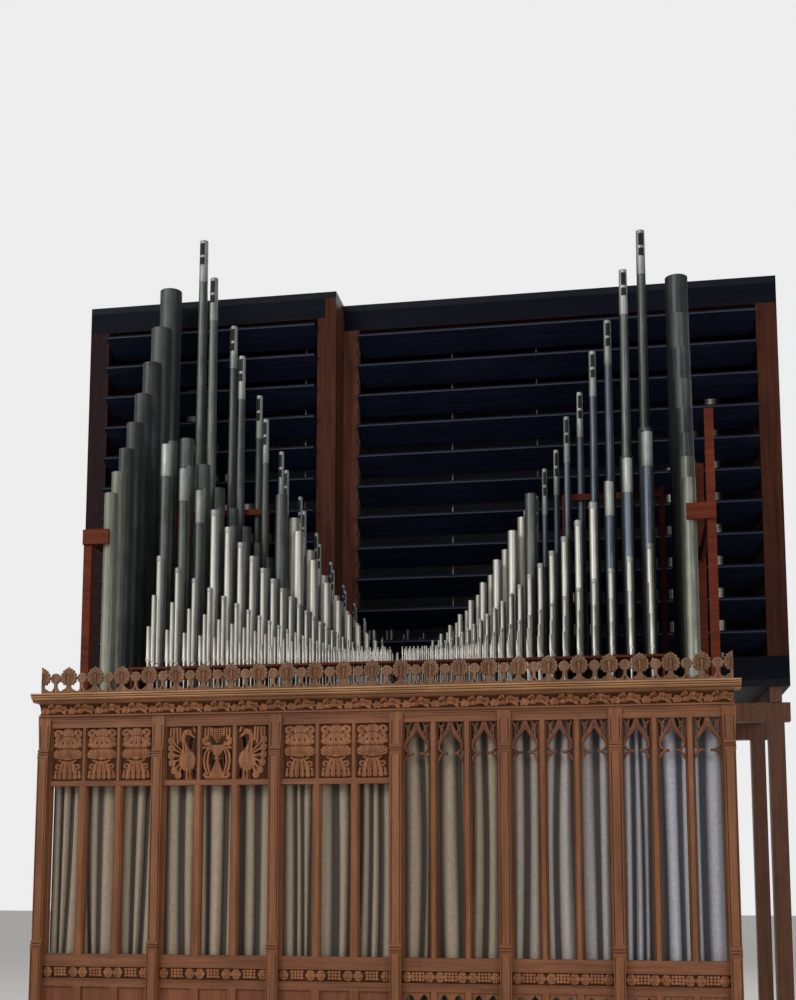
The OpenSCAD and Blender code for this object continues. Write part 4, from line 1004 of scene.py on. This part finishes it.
def leafPanel(width, height):
    r = Relief(width, height, panelForm["step"], folded=True, solid=True, spread=1.17)
    r.put(r.dome(0, 38, 34, 38), 3, 6)
    for x in (0, 13, 26):
        r.sink(r.ridge([(x, 66), (x * 0.9, 8)], 2.2), 3)
    r.put(r.dome(0, 84, 60, 46), 5, 6)
    for x, t in ((55, 68), (58, 92), (50, 54)):
        r.put(r.dome(x, t, 13, 14), 3, 7)
    r.sink(r.ridge([(0, 44), (18, 47), (36, 55), (50, 70)], 2.2), 5)
    for x in (0, 12, 25, 39):
        r.sink(r.ridge([(x, 54 + x * 0.15), (x * 1.08, 78)], 1.8), 3)
    for x in (0, 22, 43):
        r.put(r.dome(x, 99, 12.5, 14), 8, 5)
    r.put(r.dome(46, 30, 23, 25), 4, 6)
    r.scroll(50, 34, 20, -110, 330, 7.5, 5, 9)
    r.sink(r.dome(48, 27, 4.5, 6), 13)
    r.sink(r.ridge([(30, 48), (36, 36)], 3), 10)
    for x in (0, 24):
        r.sink(r.dome(x, 83, 3.6, 7), 13)
    r.put(r.dome(0, 146, 34, 30), 8, 5)
    r.put(r.dome(38, 142, 33, 28), 7, 9)
    r.put(r.dome(56, 152, 14, 15), 6, 7)
    for x, t in ((0, 114), (13, 114), (29, 114), (46, 119), (60, 130), (66, 146)):
        r.sink(r.ridge([(2, 174), (x, t)], 2.4), 4)
    r.sink(r.ridge([(0, 116), (14, 111), (32, 116), (48, 110), (60, 116)], 2.4), 5)
    r.put(r.dome(0, 168, 13, 8), 8, 6)
    r.put(r.ridge([(0, 186, 6.5), (24, 184, 6.5), (40, 176, 5)]), 6, 8)
    r.sink(r.ridge([(0, 186), (36, 181)], 1.8), 3)
    r.put(r.dome(46, 210, 17, 18), 3, 5)
    r.scroll(47, 211, 14, -150, 340, 5.5, 4, 8)
    r.sink(r.dome(46, 209, 4, 6), 12)
    r.put(r.ridge([(8, 194, 9), (12, 238, 11), (13, 270, 11)]), 4, 10)
    r.put(r.ridge([(24, 194, 8), (36, 238, 12), (39, 270, 12)]), 4, 10)
    r.put(r.ridge([(56, 236, 7), (60, 268, 9)]), 3, 7)
    for x, low in ((12, 272), (35, 272)):
        r.sink(r.ridge([(x * 0.55, 200), (x, low)], 2), 4)
    for x in (0, 25, 50):
        r.sink(r.dome(x, 248, 3.6, 9), 12)
    return r


def birdPanel(width, height):
    r = Relief(width, height, panelForm["step"], solid=True, spread=width / 157)
    for x0, t0, x1, t1, w in ((127, 66, 122, 112, 8), (72, 104, 78, 142, 4), (36, 174, 62, 180, 3.5),
                              (40, 197, 64, 193, 4), (50, 218, 70, 204, 4.5), (78, 238, 76, 276, 9),
                              (142, 236, 144, 270, 6), (36, 132, 62, 148, 3.5)):
        r.open(r.ridge([(x0, t0), (x1, t1)], w))
    for x0, x1, low in ((18, 16, 50), (34, 32, 64), (50, 56, 92), (66, 70, 76), (140, 146, 30)):
        r.put(r.ridge([(x0, 10), (x1, low)], 7), 2, 8)
    for x, t in ((20, 76), (21, 116), (21, 156), (26, 196), (38, 236), (60, 262)):
        r.put(r.ridge([(86, 160 + (t - 160) * 0.25, 4), (x, t, 7)]), 3, 7)
        r.put(r.dome(x, t, 19, 21), 5, 7)
        r.sink(r.dome(x, t, 13, 14), 3, 0.2)
        r.put(r.dome(x, t, 8, 9), 6, 6)
    r.put(r.dome(108, 184, 46, 57), 5, 12)
    scales = np.abs(np.sin(r.X * 0.33 + 0.5 * np.sin(r.T * 0.2))) * np.abs(np.sin(r.T * 0.28))
    r.sink(np.minimum(r.dome(106, 188, 38, 46), scales - 0.25), 2.4)
    neck = [(112, 34, 15), (97, 34, 15), (87, 52, 12), (86, 76, 11), (92, 102, 14), (100, 132, 22)]
    r.put(r.ridge(neck), 7, 9)
    r.put(r.dome(110, 32, 18, 16), 9, 7)
    r.put(r.ridge([(122, 42, 8), (137, 54, 5), (148, 62, 3)]), 8, 5)
    r.sink(r.dome(115, 30, 3.2, 3.2), 6)
    r.sink(r.ridge([(91, 92), (97, 140)], 2.4), 6)
    r.put(r.ridge([(84, 130, 5), (74, 178, 8), (82, 220, 5)]), 8, 7)
    for x in (106, 124):
        r.put(r.ridge([(x, 232, 7), (x, 262, 5), (x + 2, 282, 9)]), 4, 7)
    return r


def cupPanel(width, height):
    r = Relief(width, height, panelForm["step"], folded=True, solid=True, spread=width / 150)
    for points, w in (
            ([(20, 182), (26, 226)], 5.5), ([(57, 158), (57, 222)], 3.5), ([(72, 132), (74, 172)], 5),
            ([(72, 214), (68, 244)], 5), ([(33, 140), (38, 200)], 3.5), ([(42, 30), (41, 52)], 3)):
        r.open(r.ridge(points, w))
    for x0, x1 in ((34, 33), (47, 47), (61, 63)):
        r.put(r.ridge([(x0, 12), (x1, 52)], 5.5), 2, 8)
    r.put(r.ridge([(30, 117), (76, 117)], 6), 3, 7)
    r.put(r.ridge([(44, 120, 5), (62, 150, 6), (66, 190, 7), (60, 226, 6.5), (48, 258, 6)]), 4, 9)
    r.put(r.ridge([(36, 126, 4.5), (46, 158, 5), (49, 196, 6), (42, 232, 6), (36, 258, 5)]), 3, 8)
    r.leaf(52, 82, 30, 20, 6, 8)
    r.grapes(0, 20, (5, 5, 5, 4, 3, 2, 1), 6.4, 8, 7)
    r.put(r.turned([(104, 37), (120, 34), (142, 25), (158, 12), (166, 8)]), 8, 8)
    r.put(r.ridge([(0, 106), (37, 106)], 4.5), 12, 4)
    r.put(r.turned([(160, 7), (186, 7), (204, 13), (232, 24), (262, 40), (270, 43)]), 7, 8)
    r.put(r.dome(0, 174, 14, 8), 9, 7)
    r.put(r.ridge([(0, 275, 9), (50, 275, 9), (65, 262, 7), (60, 252, 5)]), 5, 8)
    for x in (10, 22):
        r.sink(r.ridge([(x * 0.35, 196), (x, 262)], 1.8), 3)
    return r


def makeCarvedPanels():
    low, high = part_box("carved_panels")
    light, places = bayPlaces(low, high, panelForm)[1:]
    tall = (high.z - low.z) / mm
    top = low.y + panelForm["set"]

    def faceAt(height, level):
        return top + (panelForm["relief"] - height) * mm

    def rearAt(height, level):
        return np.full(height.shape, top + panelForm["back"])

    drawings = (leafPanel, birdPanel, cupPanel)
    leaves, bird, cup = (draw(light / mm, tall).mesh(faceAt, rearAt) for draw in drawings)
    panels = Shape()
    for i, (start, lights) in enumerate(places):
        for j, x in enumerate(lights):
            middle = i == 1  # the middle bay holds two facing birds and a cup
            mesh = (bird, cup, bird)[j] if middle else leaves
            stamp(panels, mesh, x, 0, low.z, light if middle and j == 2 else None)
    fixPiece(panels.build("carvedPanels", "oakCarved", angle=60, second="oakRecess"), "carved_panels")
    makeBayBars("panelMullions", "carved_panels", panelForm)


makeCarvedPanels()
print("panels carved")

# Vine rail: a leaf, a bunch and a leaf over each light, between two thin lips
vineForm = {"step": 2.2, "lip": 0.0055, "deep": 0.013, "under": 0.0004, "recess": 3.4}


def vineRelief(wide, tall):
    r = Relief(wide, tall, vineForm["step"], solid=True)
    mid = tall / 2
    third = wide / 3
    for k in range(3):
        centre = third * (k + 0.5)
        stem = [(centre - third * 0.5, mid + 6, 3), (centre - 22, mid - 20, 3),
                (centre + 22, mid + 22, 3), (centre + third * 0.5, mid - 6, 3)]
        r.put(r.ridge(stem), 3, 3)
        for side in (-1, 1):
            x = centre + side * (third * 0.5 - 27)
            r.put(r.dome(x, mid, 26, 28), 5, 6, 0.35)
            for dx, dt in ((-24, -14), (-24, 14), (24, -14), (24, 14)):
                r.sink(r.dome(x + dx, mid + dt, 5, 6), 11)
            r.scroll(x + side * 2, mid + 1, 14, 200 * k + 90 * side, 300, 4.5, 8, 6)
            for dx, dt in ((-16, -17), (0, -24), (17, -15), (-16, 17), (1, 24), (17, 15)):
                r.sink(r.ridge([(x + dx * 0.35, mid + dt * 0.35), (x + dx, mid + dt)], 1.8), 4)
        r.grapes(centre, mid - 18, (4, 4, 4), 9.0, 4, 9)
    return r


def makeVineRail():
    carving = Shape()
    rail = Shape()
    made = {}
    low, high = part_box("vine_rail")
    lip = vineForm["lip"]
    tall = (high.z - low.z - 2 * lip) / mm
    floorY = low.y + vineForm["deep"]
    backY = floorY + vineForm["under"]

    def faceAt(height, level):
        return floorY - height * mm

    def rearAt(height, level):
        return np.full(height.shape, floorY)

    for (x0, y0, z0), (x1, y1, z1) in islands("vine_rail"):
        wide = (x1 - x0) / mm
        key = round(wide)
        if key not in made:
            made[key] = vineRelief(wide, tall).mesh(faceAt, rearAt, rear=False, recess=vineForm["recess"])
        stamp(carving, made[key], x0, 0, z0 + lip)
        addBox(rail, (x0, backY, z0), (x1, y1, z1))
        addBox(rail, (x0, low.y, z0), (x1, backY, z0 + lip))
        addBox(rail, (x0, low.y, z1 - lip), (x1, backY, z1))
    fixPiece(carving.build("vineCarving", "oakCarved", angle=60, second="oakRecess"), "vine_rail")
    fixPiece(rail.build("vineRailBoard", "oakLevel", smooth=False), "vine_rail")


makeVineRail()
print("vine rail carved")

# Frieze: a running vine in the hollow, one wave to each finial
friezeForm = {"step": 2.4, "low": 0.010, "high": 0.068, "drop": 0.077, "waves": 24, "recess": 2.6,
              "hollow": ((8, 22), (23, 35), (42, 35), (66, 12), (77, 0))}


def makeFrieze():
    low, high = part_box("frieze_board")
    tall = (friezeForm["high"] - friezeForm["low"]) / mm
    wide = (high.x - low.x) / friezeForm["waves"] / mm
    r = Relief(wide, tall, friezeForm["step"], solid=True)
    mid = tall / 2
    wave = [(wide * k / 16, mid + 17 * math.sin(2 * math.pi * k / 16), 3.8) for k in range(17)]
    r.put(r.ridge(wave), 3, 6)
    for x, side, size in ((0.08, -1, 1.0), (0.58, 1, 1.0), (0.40, -1, 0.72), (0.90, 1, 0.72)):
        centre, root = wide * x, mid - side * 12
        for degrees, length in ((-62, 26), (-24, 40), (8, 50), (42, 40), (84, 26)):
            length *= size
            a = math.radians(degrees * side)
            dx = length * math.cos(a)
            dt = side * abs(length * math.sin(a)) * (1 if degrees * side < 0 else -1) * -0.55
            turn = math.degrees(math.atan2(dt, dx))
            t = root + side * 6
            r.put(r.dome(centre + dx * 0.55, t + dt * 0.55, length * 0.52, 9.0 * size, turn), 4, 7)
            r.sink(r.ridge([(centre + dx * 0.1, t + dt * 0.1), (centre + dx, t + dt)], 1.5), 4)
        r.put(r.dome(centre + 44, mid + side * 15, 14, 8, 30 * side), 4, 6)
        r.sink(r.dome(centre + 30, mid + side * 18, 4.5), 9)
        r.sink(r.dome(centre + 58, mid + side * 6, 4.5), 9)
    r.scroll(wide * 0.46, mid - 15, 11, 200, 300, 4, 5, 5)
    r.scroll(wide * 0.96, mid + 15, 11, 20, 300, 4, 5, 5)

    def rearAt(height, level):
        up = level + friezeForm["low"] / mm
        return low.y + np.interp(up, *zip(*friezeForm["hollow"])) * mm

    def faceAt(height, level):
        return rearAt(height, level) - (0.5 + height) * mm

    mesh = r.mesh(faceAt, rearAt, rear=False, recess=friezeForm["recess"])
    shape = Shape()
    for k in range(friezeForm["waves"]):
        stamp(shape, mesh, low.x + k * wide * mm, 0, high.z - friezeForm["drop"] + friezeForm["low"])
    fixPiece(shape.build("friezeVine", "oakCarved", angle=60, second="oakRecess"))


makeFrieze()
print("frieze carved")

# Cornice: a bold bead over hollows, with quirks between painted in shade; each point has its depth, level
# and tone, and tone 1 is the painted shade
corniceForm = {"tall": 46, "columns": 24, "profile": (
    (127, 0, 0), (40, 0, 0), (40, 4, 0), (33, 4.5, 1), (33, 8, 1), (30, 12, 0), (24, 15.5, 0), (17, 17, 0),
    (15, 17.5, 0), (15, 22, 0), (20, 22.5, 1), (20, 25, 1), (13, 25.5, 0), (9, 28, 0), (7, 31, 0),
    (6.5, 34, 0), (11, 34.5, 1), (11, 37, 1), (2, 37.5, 0), (0.3, 39.5, 0), (0, 42, 0), (0.6, 44.5, 0),
    (3, 46, 0), (127, 46, 0))}


def makeCornice():
    low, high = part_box("cornice")
    unit = (high.z - low.z) / corniceForm["tall"]
    columns = corniceForm["columns"]
    count = len(corniceForm["profile"])
    verts = [(low.x + (high.x - low.x) * k / columns, low.y + y * mm, low.z + z * unit)
             for k in range(columns + 1) for y, z, tone in corniceForm["profile"]]
    faces, tones = [], []
    for k in range(columns):
        for i, (y, z, tone) in enumerate(corniceForm["profile"]):
            j = (i + 1) % count
            faces.append((k * count + i, k * count + j, (k + 1) * count + j, (k + 1) * count + i))
            tones.append(tone)
    faces += [tuple(range(count))[::-1], tuple(range(columns * count, (columns + 1) * count))]
    shape = Shape()
    shape.add(verts, [ring[::-1] for ring in faces], tones + [0, 0])
    # the cornice is painted lighter than the other oak, as light falling on it
    piece = shape.build("corniceMoulding", "corniceOak", angle=35, second="crestRecess")
    fixPiece(piece, "cornice")


makeCornice()
print("cornice run")

# Tracery lights: two S bars cross at the top of each, with small bars beside them and a forked cusp under
traceryForm = {"step": 1.9, "high": 206.0, "drawn": 129, "front": 0.008, "thick": 0.028, "stands": 11.0,
               "bays": 3, "post": 0.057, "jamb": 0.012, "mullion": 0.046}


def traceryRelief(wide):
    spread = wide / traceryForm["drawn"]
    r = Relief(wide, traceryForm["high"], traceryForm["step"], folded=True, spread=spread)
    bars = (
        ([(0, -4, 14), (3, 16, 13), (12, 40, 12), (28, 68, 11.5), (47, 92, 10.5), (60, 114, 9.5),
          (66, 138, 8)], 2, 9),
        ([(0, 6, 9), (0, 42, 7)], 2, 8),
        ([(64, 122, 7), (58, 142, 6.5), (46, 156, 6), (33, 161, 5.5), (21, 163, 6)], 1, 8),
        ([(22, 163, 6), (36, 166, 5.5), (48, 174, 6), (58, 188, 6.5), (66, 208, 7)], 1, 8),
        ([(28, -4, 5), (38, 14, 4.5), (42, 34, 4.5), (37, 54, 4.5), (28, 66, 5)], 0, 6),
        ([(64, 6, 5), (54, 26, 4.5), (48, 48, 4.5), (49, 70, 4.5), (54, 96, 5)], 0, 6),
        ([(40, 18, 4.5), (54, 24, 4.5)], 0, 5),
    )
    for points, base, rise in bars:
        r.put(r.ridge(points), base, rise)
    r.put(r.dome(20, 163, 8, 7.5), 2, 9)
    r.put(r.ridge([(50, 106, 6), (62, 100, 6)]), 1, 7)
    r.sink(r.ridge([(0, 22, 3), (10, 44, 3), (27, 72, 2.6), (46, 96, 2.4), (60, 120, 2)]), 4)
    return r


def makeTraceryLights():
    low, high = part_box("tracery_lights")
    light, places = bayPlaces(low, high, traceryForm)[1:]
    frontY = low.y + traceryForm["front"]

    def faceAt(height, level):
        return frontY + (traceryForm["stands"] - height) * mm

    def rearAt(height, level):
        return frontY + traceryForm["thick"] - (traceryForm["stands"] - height) * 0.6 * mm

    heads = traceryRelief(light / mm).mesh(faceAt, rearAt, recess=0)
    tracery = Shape()
    for start, lights in places:
        for x in lights:
            stamp(tracery, heads, x, 0, high.z - traceryForm["high"] * mm)
    # the tracery heads are painted darker than the other oak, as shade
    fixPiece(tracery.build("traceryHeads", "traceryOak", angle=60), "tracery_lights")
    makeBayBars("traceryMullions", "tracery_lights", traceryForm)


makeTraceryLights()
print("tracery cut")

# Posts: three bands at each set-off, and a bead up both edges of each stage, painted in shade as a shadow
# line
bandForm = {"levels": ((1.012, 0.0), (2.026, 0.013)), "bands": 3, "pitch": 0.0165, "out": 0.0025,
            "less": 0.003, "half": 0.0305, "edge": 0.0215, "bead": (0.0026, 0.0024), "beadSet": 0.0005,
            "stages": ((0.06, 1.008, 0.0), (1.064, 2.022, 0.013), (2.08, 2.2, 0.026))}


def makePostBands():
    shape = Shape()
    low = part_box("screen_posts")[0]
    beadWide, beadDeep = bandForm["bead"]
    bead = [(beadWide * math.cos(a), -beadDeep * math.sin(a)) for a in np.linspace(0, math.pi, 7)]
    for postLow, postHigh in islands("screen_posts"):
        middle = (postLow[0] + postHigh[0]) / 2
        for level, front in bandForm["levels"]:
            for k in range(bandForm["bands"]):
                out = bandForm["out"] - k * bandForm["less"]
                profile = [(0.022, 0), (0.004, 0), (-out, 0.002), (-out - 0.0012, 0.006), (-out, 0.010),
                           (0.006, 0.0125), (0.022, 0.0125)]
                y, z = low.y + front, level + k * bandForm["pitch"]
                ends = (middle - bandForm["half"], middle + bandForm["half"])
                addBar(shape, [(x, y + dy, z + dz) for x in ends for dy, dz in profile], flip=True)
        for z0, z1, front in bandForm["stages"]:
            y = low.y + front + bandForm["beadSet"]
            for x in (middle - bandForm["edge"], middle + bandForm["edge"]):
                addBar(shape, [(x + dx, y + dy, z) for z in (z0, z1) for dx, dy in bead], 1, flip=True)
    fixPiece(shape.build("postBands", "oakLevel", angle=50, second="oakShade"))


makePostBands()
print("post bands set")

# Cresting: tall leafy finials and small rosettes on a strip of low leaves
crestForm = {"step": 2.0, "wide": 96.0, "relief": 8.0, "set": 0.6, "finials": 23, "strip": 0.014,
             "rosette": (64.0, 103.0, 28.5), "aside": 0.03, "stripTall": 30.0, "leaves": 8,
             "base": 0.008, "baseSet": 0.002}


def finialRelief(tall, half=False):
    wide = crestForm["wide"]
    r = Relief(wide / 2 if half else wide, tall, crestForm["step"], folded=not half)
    h = tall  # levels are shares of the height
    r.put(r.turned([(h * 0.7, 12), (h * 0.8, 13), (h * 0.88, 20), (h * 0.95, 34), (h, 46)]), 2, 4)
    r.put(r.dome(0, h * 0.42, 35, h * 0.33), 2, 1.5)
    for x, t, size in ((24, 0.655, 8), (34, 0.56, 9.5), (38, 0.43, 9.5), (34, 0.3, 9.5), (24, 0.185, 9),
                       (11, 0.11, 8)):
        r.put(r.dome(x, h * t, size, size * 1.05), 3.2, 4.5)
    for x, t, dx, dt in ((22, 0.6, 12, 0.02), (25, 0.46, 14, -0.02), (23, 0.33, 12, -0.05),
                         (15, 0.22, 10, -0.07)):
        r.sink(r.ridge([(x, h * t), (x + dx, h * (t + dt))], 1.5), 2.5)
    r.put(r.turned([(0, 1.5), (h * 0.04, 5), (h * 0.1, 6)]), 3, 5)
    r.put(r.ridge([(0, h * 0.39, 25), (0, h * 0.52, 21), (0, h * 0.68, 11)]), 7.6, 0.4)
    r.sink(r.ridge([(0, h * 0.39, 20.5), (0, h * 0.52, 16.5), (0, h * 0.68, 7)]), 8, 0.12)
    r.put(r.ridge([(0, h * 0.27, 3), (0, h * 0.4, 7.5), (0, h * 0.5, 4.5), (0, h * 0.7, 4)]), 3, 5)
    r.put(r.dome(0, h * 0.79, 8, 9), 4, 4)
    r.put(r.ridge([(9, h * 0.86, 4.5), (30, h * 0.955, 6)]), 4, 4)
    return r


def rosetteRelief():
    wide, tall, up = crestForm["rosette"]
    r = Relief(wide, tall, crestForm["step"], folded=True)
    r.put(r.turned([(up + 20, 8), (tall * 0.74, 9), (tall * 0.86, 14), (tall, 28)]), 2, 4)
    r.open(r.ridge([(0, tall * 0.84, 2.5), (0, tall + 4, 7)]))
    r.put(r.dome(0, up, up), 3, 3.5, 0.3)
    for k in range(7):
        a = math.radians(-90 + k * 30)
        r.put(r.dome(20 * math.cos(a), up + 20 * math.sin(a), 7.5), 4, 3.5)
    r.sink(r.dome(0, up, 14), 2.2, 0.3)
    r.put(r.dome(0, up, 9), 3, 4)
    return r


def stripRelief(wide):
    r = Relief(wide, crestForm["stripTall"], crestForm["step"])
    r.put(r.ridge([(0, 26), (wide, 26)], 7), 2, 3)
    count = crestForm["leaves"]
    for k in range(count):
        x = wide * (k + 0.5) / count
        lift = 6 if k in (0, count - 1) else (12 if k in (1, count - 2) else 10)
        r.put(r.dome(x, 10 + lift, 12, 10, 30 if k < count / 2 else -30), 2, 5)
        r.sink(r.ridge([(x - 5, 24), (x + 5, 8 + lift)], 1.4), 3)
    return r


def makeCresting():
    low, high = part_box("cresting")
    tall = (high.z - low.z - crestForm["strip"]) / mm
    pitch = (high.x - low.x) / (crestForm["finials"] + 1)
    half = crestForm["wide"] / 2 * mm
    foot = low.z + crestForm["strip"]

    def faceAt(height, level):
        return low.y + (crestForm["relief"] + crestForm["set"] - height) * mm

    def rearAt(height, level):
        return np.full(height.shape, high.y)

    finial = finialRelief(tall).mesh(faceAt, rearAt)
    endHalf = finialRelief(tall, half=True).mesh(faceAt, rearAt)
    rosette = rosetteRelief().mesh(faceAt, rearAt)
    strip = stripRelief(pitch / mm).mesh(faceAt, rearAt)
    shape = Shape()
    front = low.y + crestForm["baseSet"]
    addBox(shape, (low.x, front, low.z), (high.x, high.y, low.z + crestForm["base"]))
    for k in range(crestForm["finials"] + 1):
        x = low.x + k * pitch
        stamp(shape, strip, x, 0, low.z)
        stamp(shape, rosette, x + pitch / 2 - crestForm["aside"], 0, foot)
        if k:
            stamp(shape, finial, x - half, 0, foot)
    stamp(shape, endHalf, low.x, 0, foot)
    stamp(shape, endHalf, high.x - half, 0, foot, half)
    piece = shape.build("crestingCarved", "crestOak", angle=60, second="crestRecess")
    fixPiece(piece, "cresting")


makeCresting()
print("cresting carved")

# Swell box walls: boards in frames, sunk on both faces
wallForm = {"stile": 0.11, "rail": 0.12, "sink": 0.012, "levels": 2, "least": 0.5}
walls = (("swellBack", "swell_back", "boxBlack", 6), ("swellSides", "swell_sides", "returnRed", 2))


def addWall(shape, low, high, bays):
    thin = 0 if high[0] - low[0] < high[1] - low[1] else 1
    along = 1 - thin
    stile, rail, levels = wallForm["stile"], wallForm["rail"], wallForm["levels"]

    def addBoard(a0, a1, z0, z1, inset=0.0):
        first, last = list(low), list(high)
        first[along], last[along] = a0, a1
        first[2], last[2] = z0, z1
        first[thin] += inset
        last[thin] -= inset
        addBox(shape, first, last)

    step = (high[along] - low[along] - stile) / bays
    rise = (high[2] - low[2] - rail) / levels
    for i in range(bays + 1):
        a = low[along] + i * step
        addBoard(a, a + stile, low[2], high[2])
        if i == bays:
            break
        for j in range(levels + 1):
            z = low[2] + j * rise
            addBoard(a + stile, a + step, z, z + rail)
            if j < levels:
                addBoard(a + stile, a + step, z + rail, z + rise, wallForm["sink"])


def makeSwellWalls():
    for name, nodeName, material, bays in walls:
        shape = Shape()
        for low, high in islands(nodeName):
            if max(high[0] - low[0], high[1] - low[1]) > wallForm["least"]:
                addWall(shape, low, high, bays)
            else:
                addBox(shape, low, high)
        fixPiece(shape.build(name, material, smooth=False), nodeName)


makeSwellWalls()
print("swell box walls made")

# CAD nodes that keep their shape, with their materials and the width of their soft edges
keptNodes = {
    "screen_posts": ("oakUpright", 0.0025), "screen_rails": ("oakLevel", 0.002),
    "lower_panels": ("redOak", 0.001), "lower_tracery": ("oakUpright", 0.001),
    "panel_lights": ("oakUpright", 0.0015), "frieze_board": ("oakLevel", 0.001),
    "curtain_rods": ("rodBrass", 0.0), "building_frame": ("framePine", 0.002),
    "great_chest": ("chestPine", 0.002), "great_rackboard": ("rackPine", 0.0),
    "pipe_racks": ("rackPine", 0.0015), "passage_board": ("chestPine", 0.002),
    "bass_chests": ("chestPine", 0.002), "swell_floor": ("boxBlack", 0.002),
    "swell_front": ("stileRed", 0.0), "swell_roof": ("boxBlack", 0.002),
    "shade_stays": ("stayMetal", 0.0), "swell_chest": ("chestPine", 0.002),
    "reservoir": ("windPine", 0.002), "wind_trunks": ("trunkPine", 0.002),
}
for nodeName, (material, bevel) in keptNodes.items():
    finishNode(nodeName, material, bevel)
print("kept nodes finished")

# Swell shades keep their CAD form, with a felt strip along the closing edge, pale as a painted highlight on
# the lit edge
shadeForm = {"wide": 0.2075, "thick": 0.024, "pin": 0.022, "openAngle": 60}
feltHighlightForm = {"thick": 0.003, "endGap": 0.008}


def makeFeltHighlight(nodeName, pivot):
    low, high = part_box(nodeName)
    finishNode(nodeName, "shadeBlack")
    angle = math.radians(shadeForm["openAngle"])
    cos, sin = math.cos(angle), math.sin(angle)
    half, thick, felt = shadeForm["wide"] / 2, shadeForm["thick"], feltHighlightForm["thick"]
    t = thick / 2
    inset = shadeForm["pin"] + feltHighlightForm["endGap"]
    outline = [(-t - felt * 0.2, half - thick * 0.16), (-t * 0.8, half + felt * 0.4),
               (-t * 0.6, half + felt * 0.3), (-t * 0.9, half - thick * 0.2)]
    ring = []
    for x in (low.x + inset, high.x - inset):
        ring += [(x, pivot[1] + y * cos - z * sin, pivot[2] + y * sin + z * cos) for y, z in outline]
    shape = Shape()
    addBar(shape, ring)
    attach(shape.build("feltHighlight_" + nodeName, "feltEdgeHighlight", smooth=False), nodeName)


# Screws down the right bank's inner stile, and its bearing notches as dark discs of painted shade
stileForm = {"setBack": 0.25, "screwX": -0.557, "screws": (3.18, 3.66, 4.13, 4.60, 5.09),
             "screw": (0.005, 0.005), "screwRings": ((1, 0), (0.9, 0.0012), (0.5, 0.002)),
             "edge": -0.4725, "notch": (0.012, 0.022), "notchRings": ((1, 0), (0.97, 0.0006)),
             "spread": 0.0535, "sides": 14}


def addDisc(shape, x, y, z, size, rings):
    across, up = size
    sides = stileForm["sides"]
    angles = np.linspace(0, 2 * math.pi, sides, endpoint=False)
    points = []
    for share, out in rings:
        points += [(x + across * share * math.cos(a), y - out, z + up * share * math.sin(a)) for a in angles]
    last = len(points) - sides
    shape.add(points, ringFaces(0, sides, len(rings)) + [tuple(range(last, last + sides))])


def makeStileFittings():
    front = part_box("swell_front")[0].y + stileForm["setBack"]
    screws = Shape()
    for z in stileForm["screws"]:
        addDisc(screws, stileForm["screwX"], front, z, stileForm["screw"], stileForm["screwRings"])
    notches = Shape()
    for joint in frame["joints"]:
        if "right" in joint["child"]:
            for side in (-1, 1):
                z = joint["pos_m"][2] + side * stileForm["spread"]
                addDisc(notches, stileForm["edge"], front, z, stileForm["notch"], stileForm["notchRings"])
    fixPiece(screws.build("stileScrews", "stayMetal", angle=50))
    fixPiece(notches.build("bearingNotches", "holeShade", smooth=False))


makeStileFittings()
for joint in frame["joints"]:
    makeFeltHighlight(joint["child"], joint["pos_m"])
print("shades dressed")

# Floor and lights
stageForm = {"reach": 30, "floor": (226, 224, 220), "rough": 0.8}


def makeStage():
    r = stageForm["reach"]
    floor = Shape()
    floor.add([(-r, -r, 0), (r, -r, 0), (r, r, 0), (-r, r, 0)], [(0, 1, 2, 3)])
    material, tree, shader = startMaterial("floorPale")
    setInput(shader, "Base Color", srgb(*stageForm["floor"]))
    setInput(shader, "Roughness", stageForm["rough"])
    materials["floorPale"] = material
    floor.build("floor", "floorPale", smooth=False)


makeStage()

# Lamps: place, what they point at, size, power and colour
lamps = {
    "keyLamp": ((-4.5, -9.0, 6.5), (0, 0, 2.4), (5, 4), 380, (1.0, 0.98, 0.95)),
    "fillLamp": ((6.5, -8.0, 3.5), (0, 0, 2.4), (5, 4), 190, (0.95, 0.97, 1.0)),
    "backLamp": ((0.0, 8.0, 7.0), (0, 1, 2.6), (6, 4), 200, (1.0, 1.0, 1.0)),
}
worldForm = {"lit": 0.4, "seen": 0.85, "color": (1.0, 1.0, 1.0, 1.0)}


def addLamp(name, place, target, size, power, color):
    data = bpy.data.lights.new(name, "AREA")
    data.shape = "RECTANGLE"
    data.size, data.size_y = size
    data.energy = power
    data.color = color
    lamp = bpy.data.objects.new(name, data)
    lamp.location = place
    lamp.rotation_euler = (Vector(target) - Vector(place)).to_track_quat("-Z", "Y").to_euler()
    scene.collection.objects.link(lamp)


for name, values in lamps.items():
    addLamp(name, *values)


# The world lights the object at one level, and the camera, gloss and glass see a paler one
def makeWorld():
    world = bpy.data.worlds.new("world")
    scene.world = world
    world.use_nodes = True
    tree = world.node_tree
    background = tree.nodes["Background"]
    rays = addNode(tree, "ShaderNodeLightPath")
    seen = maths(tree, "MAXIMUM", rays.outputs["Is Camera Ray"], rays.outputs["Is Glossy Ray"])
    seen = maths(tree, "MAXIMUM", seen, rays.outputs["Is Transmission Ray"])
    strength = mapRange(tree, seen, 0, 1, worldForm["lit"], worldForm["seen"])
    tree.links.new(strength, background.inputs["Strength"])
    setInput(background, "Color", worldForm["color"])


makeWorld()
print("lights set")
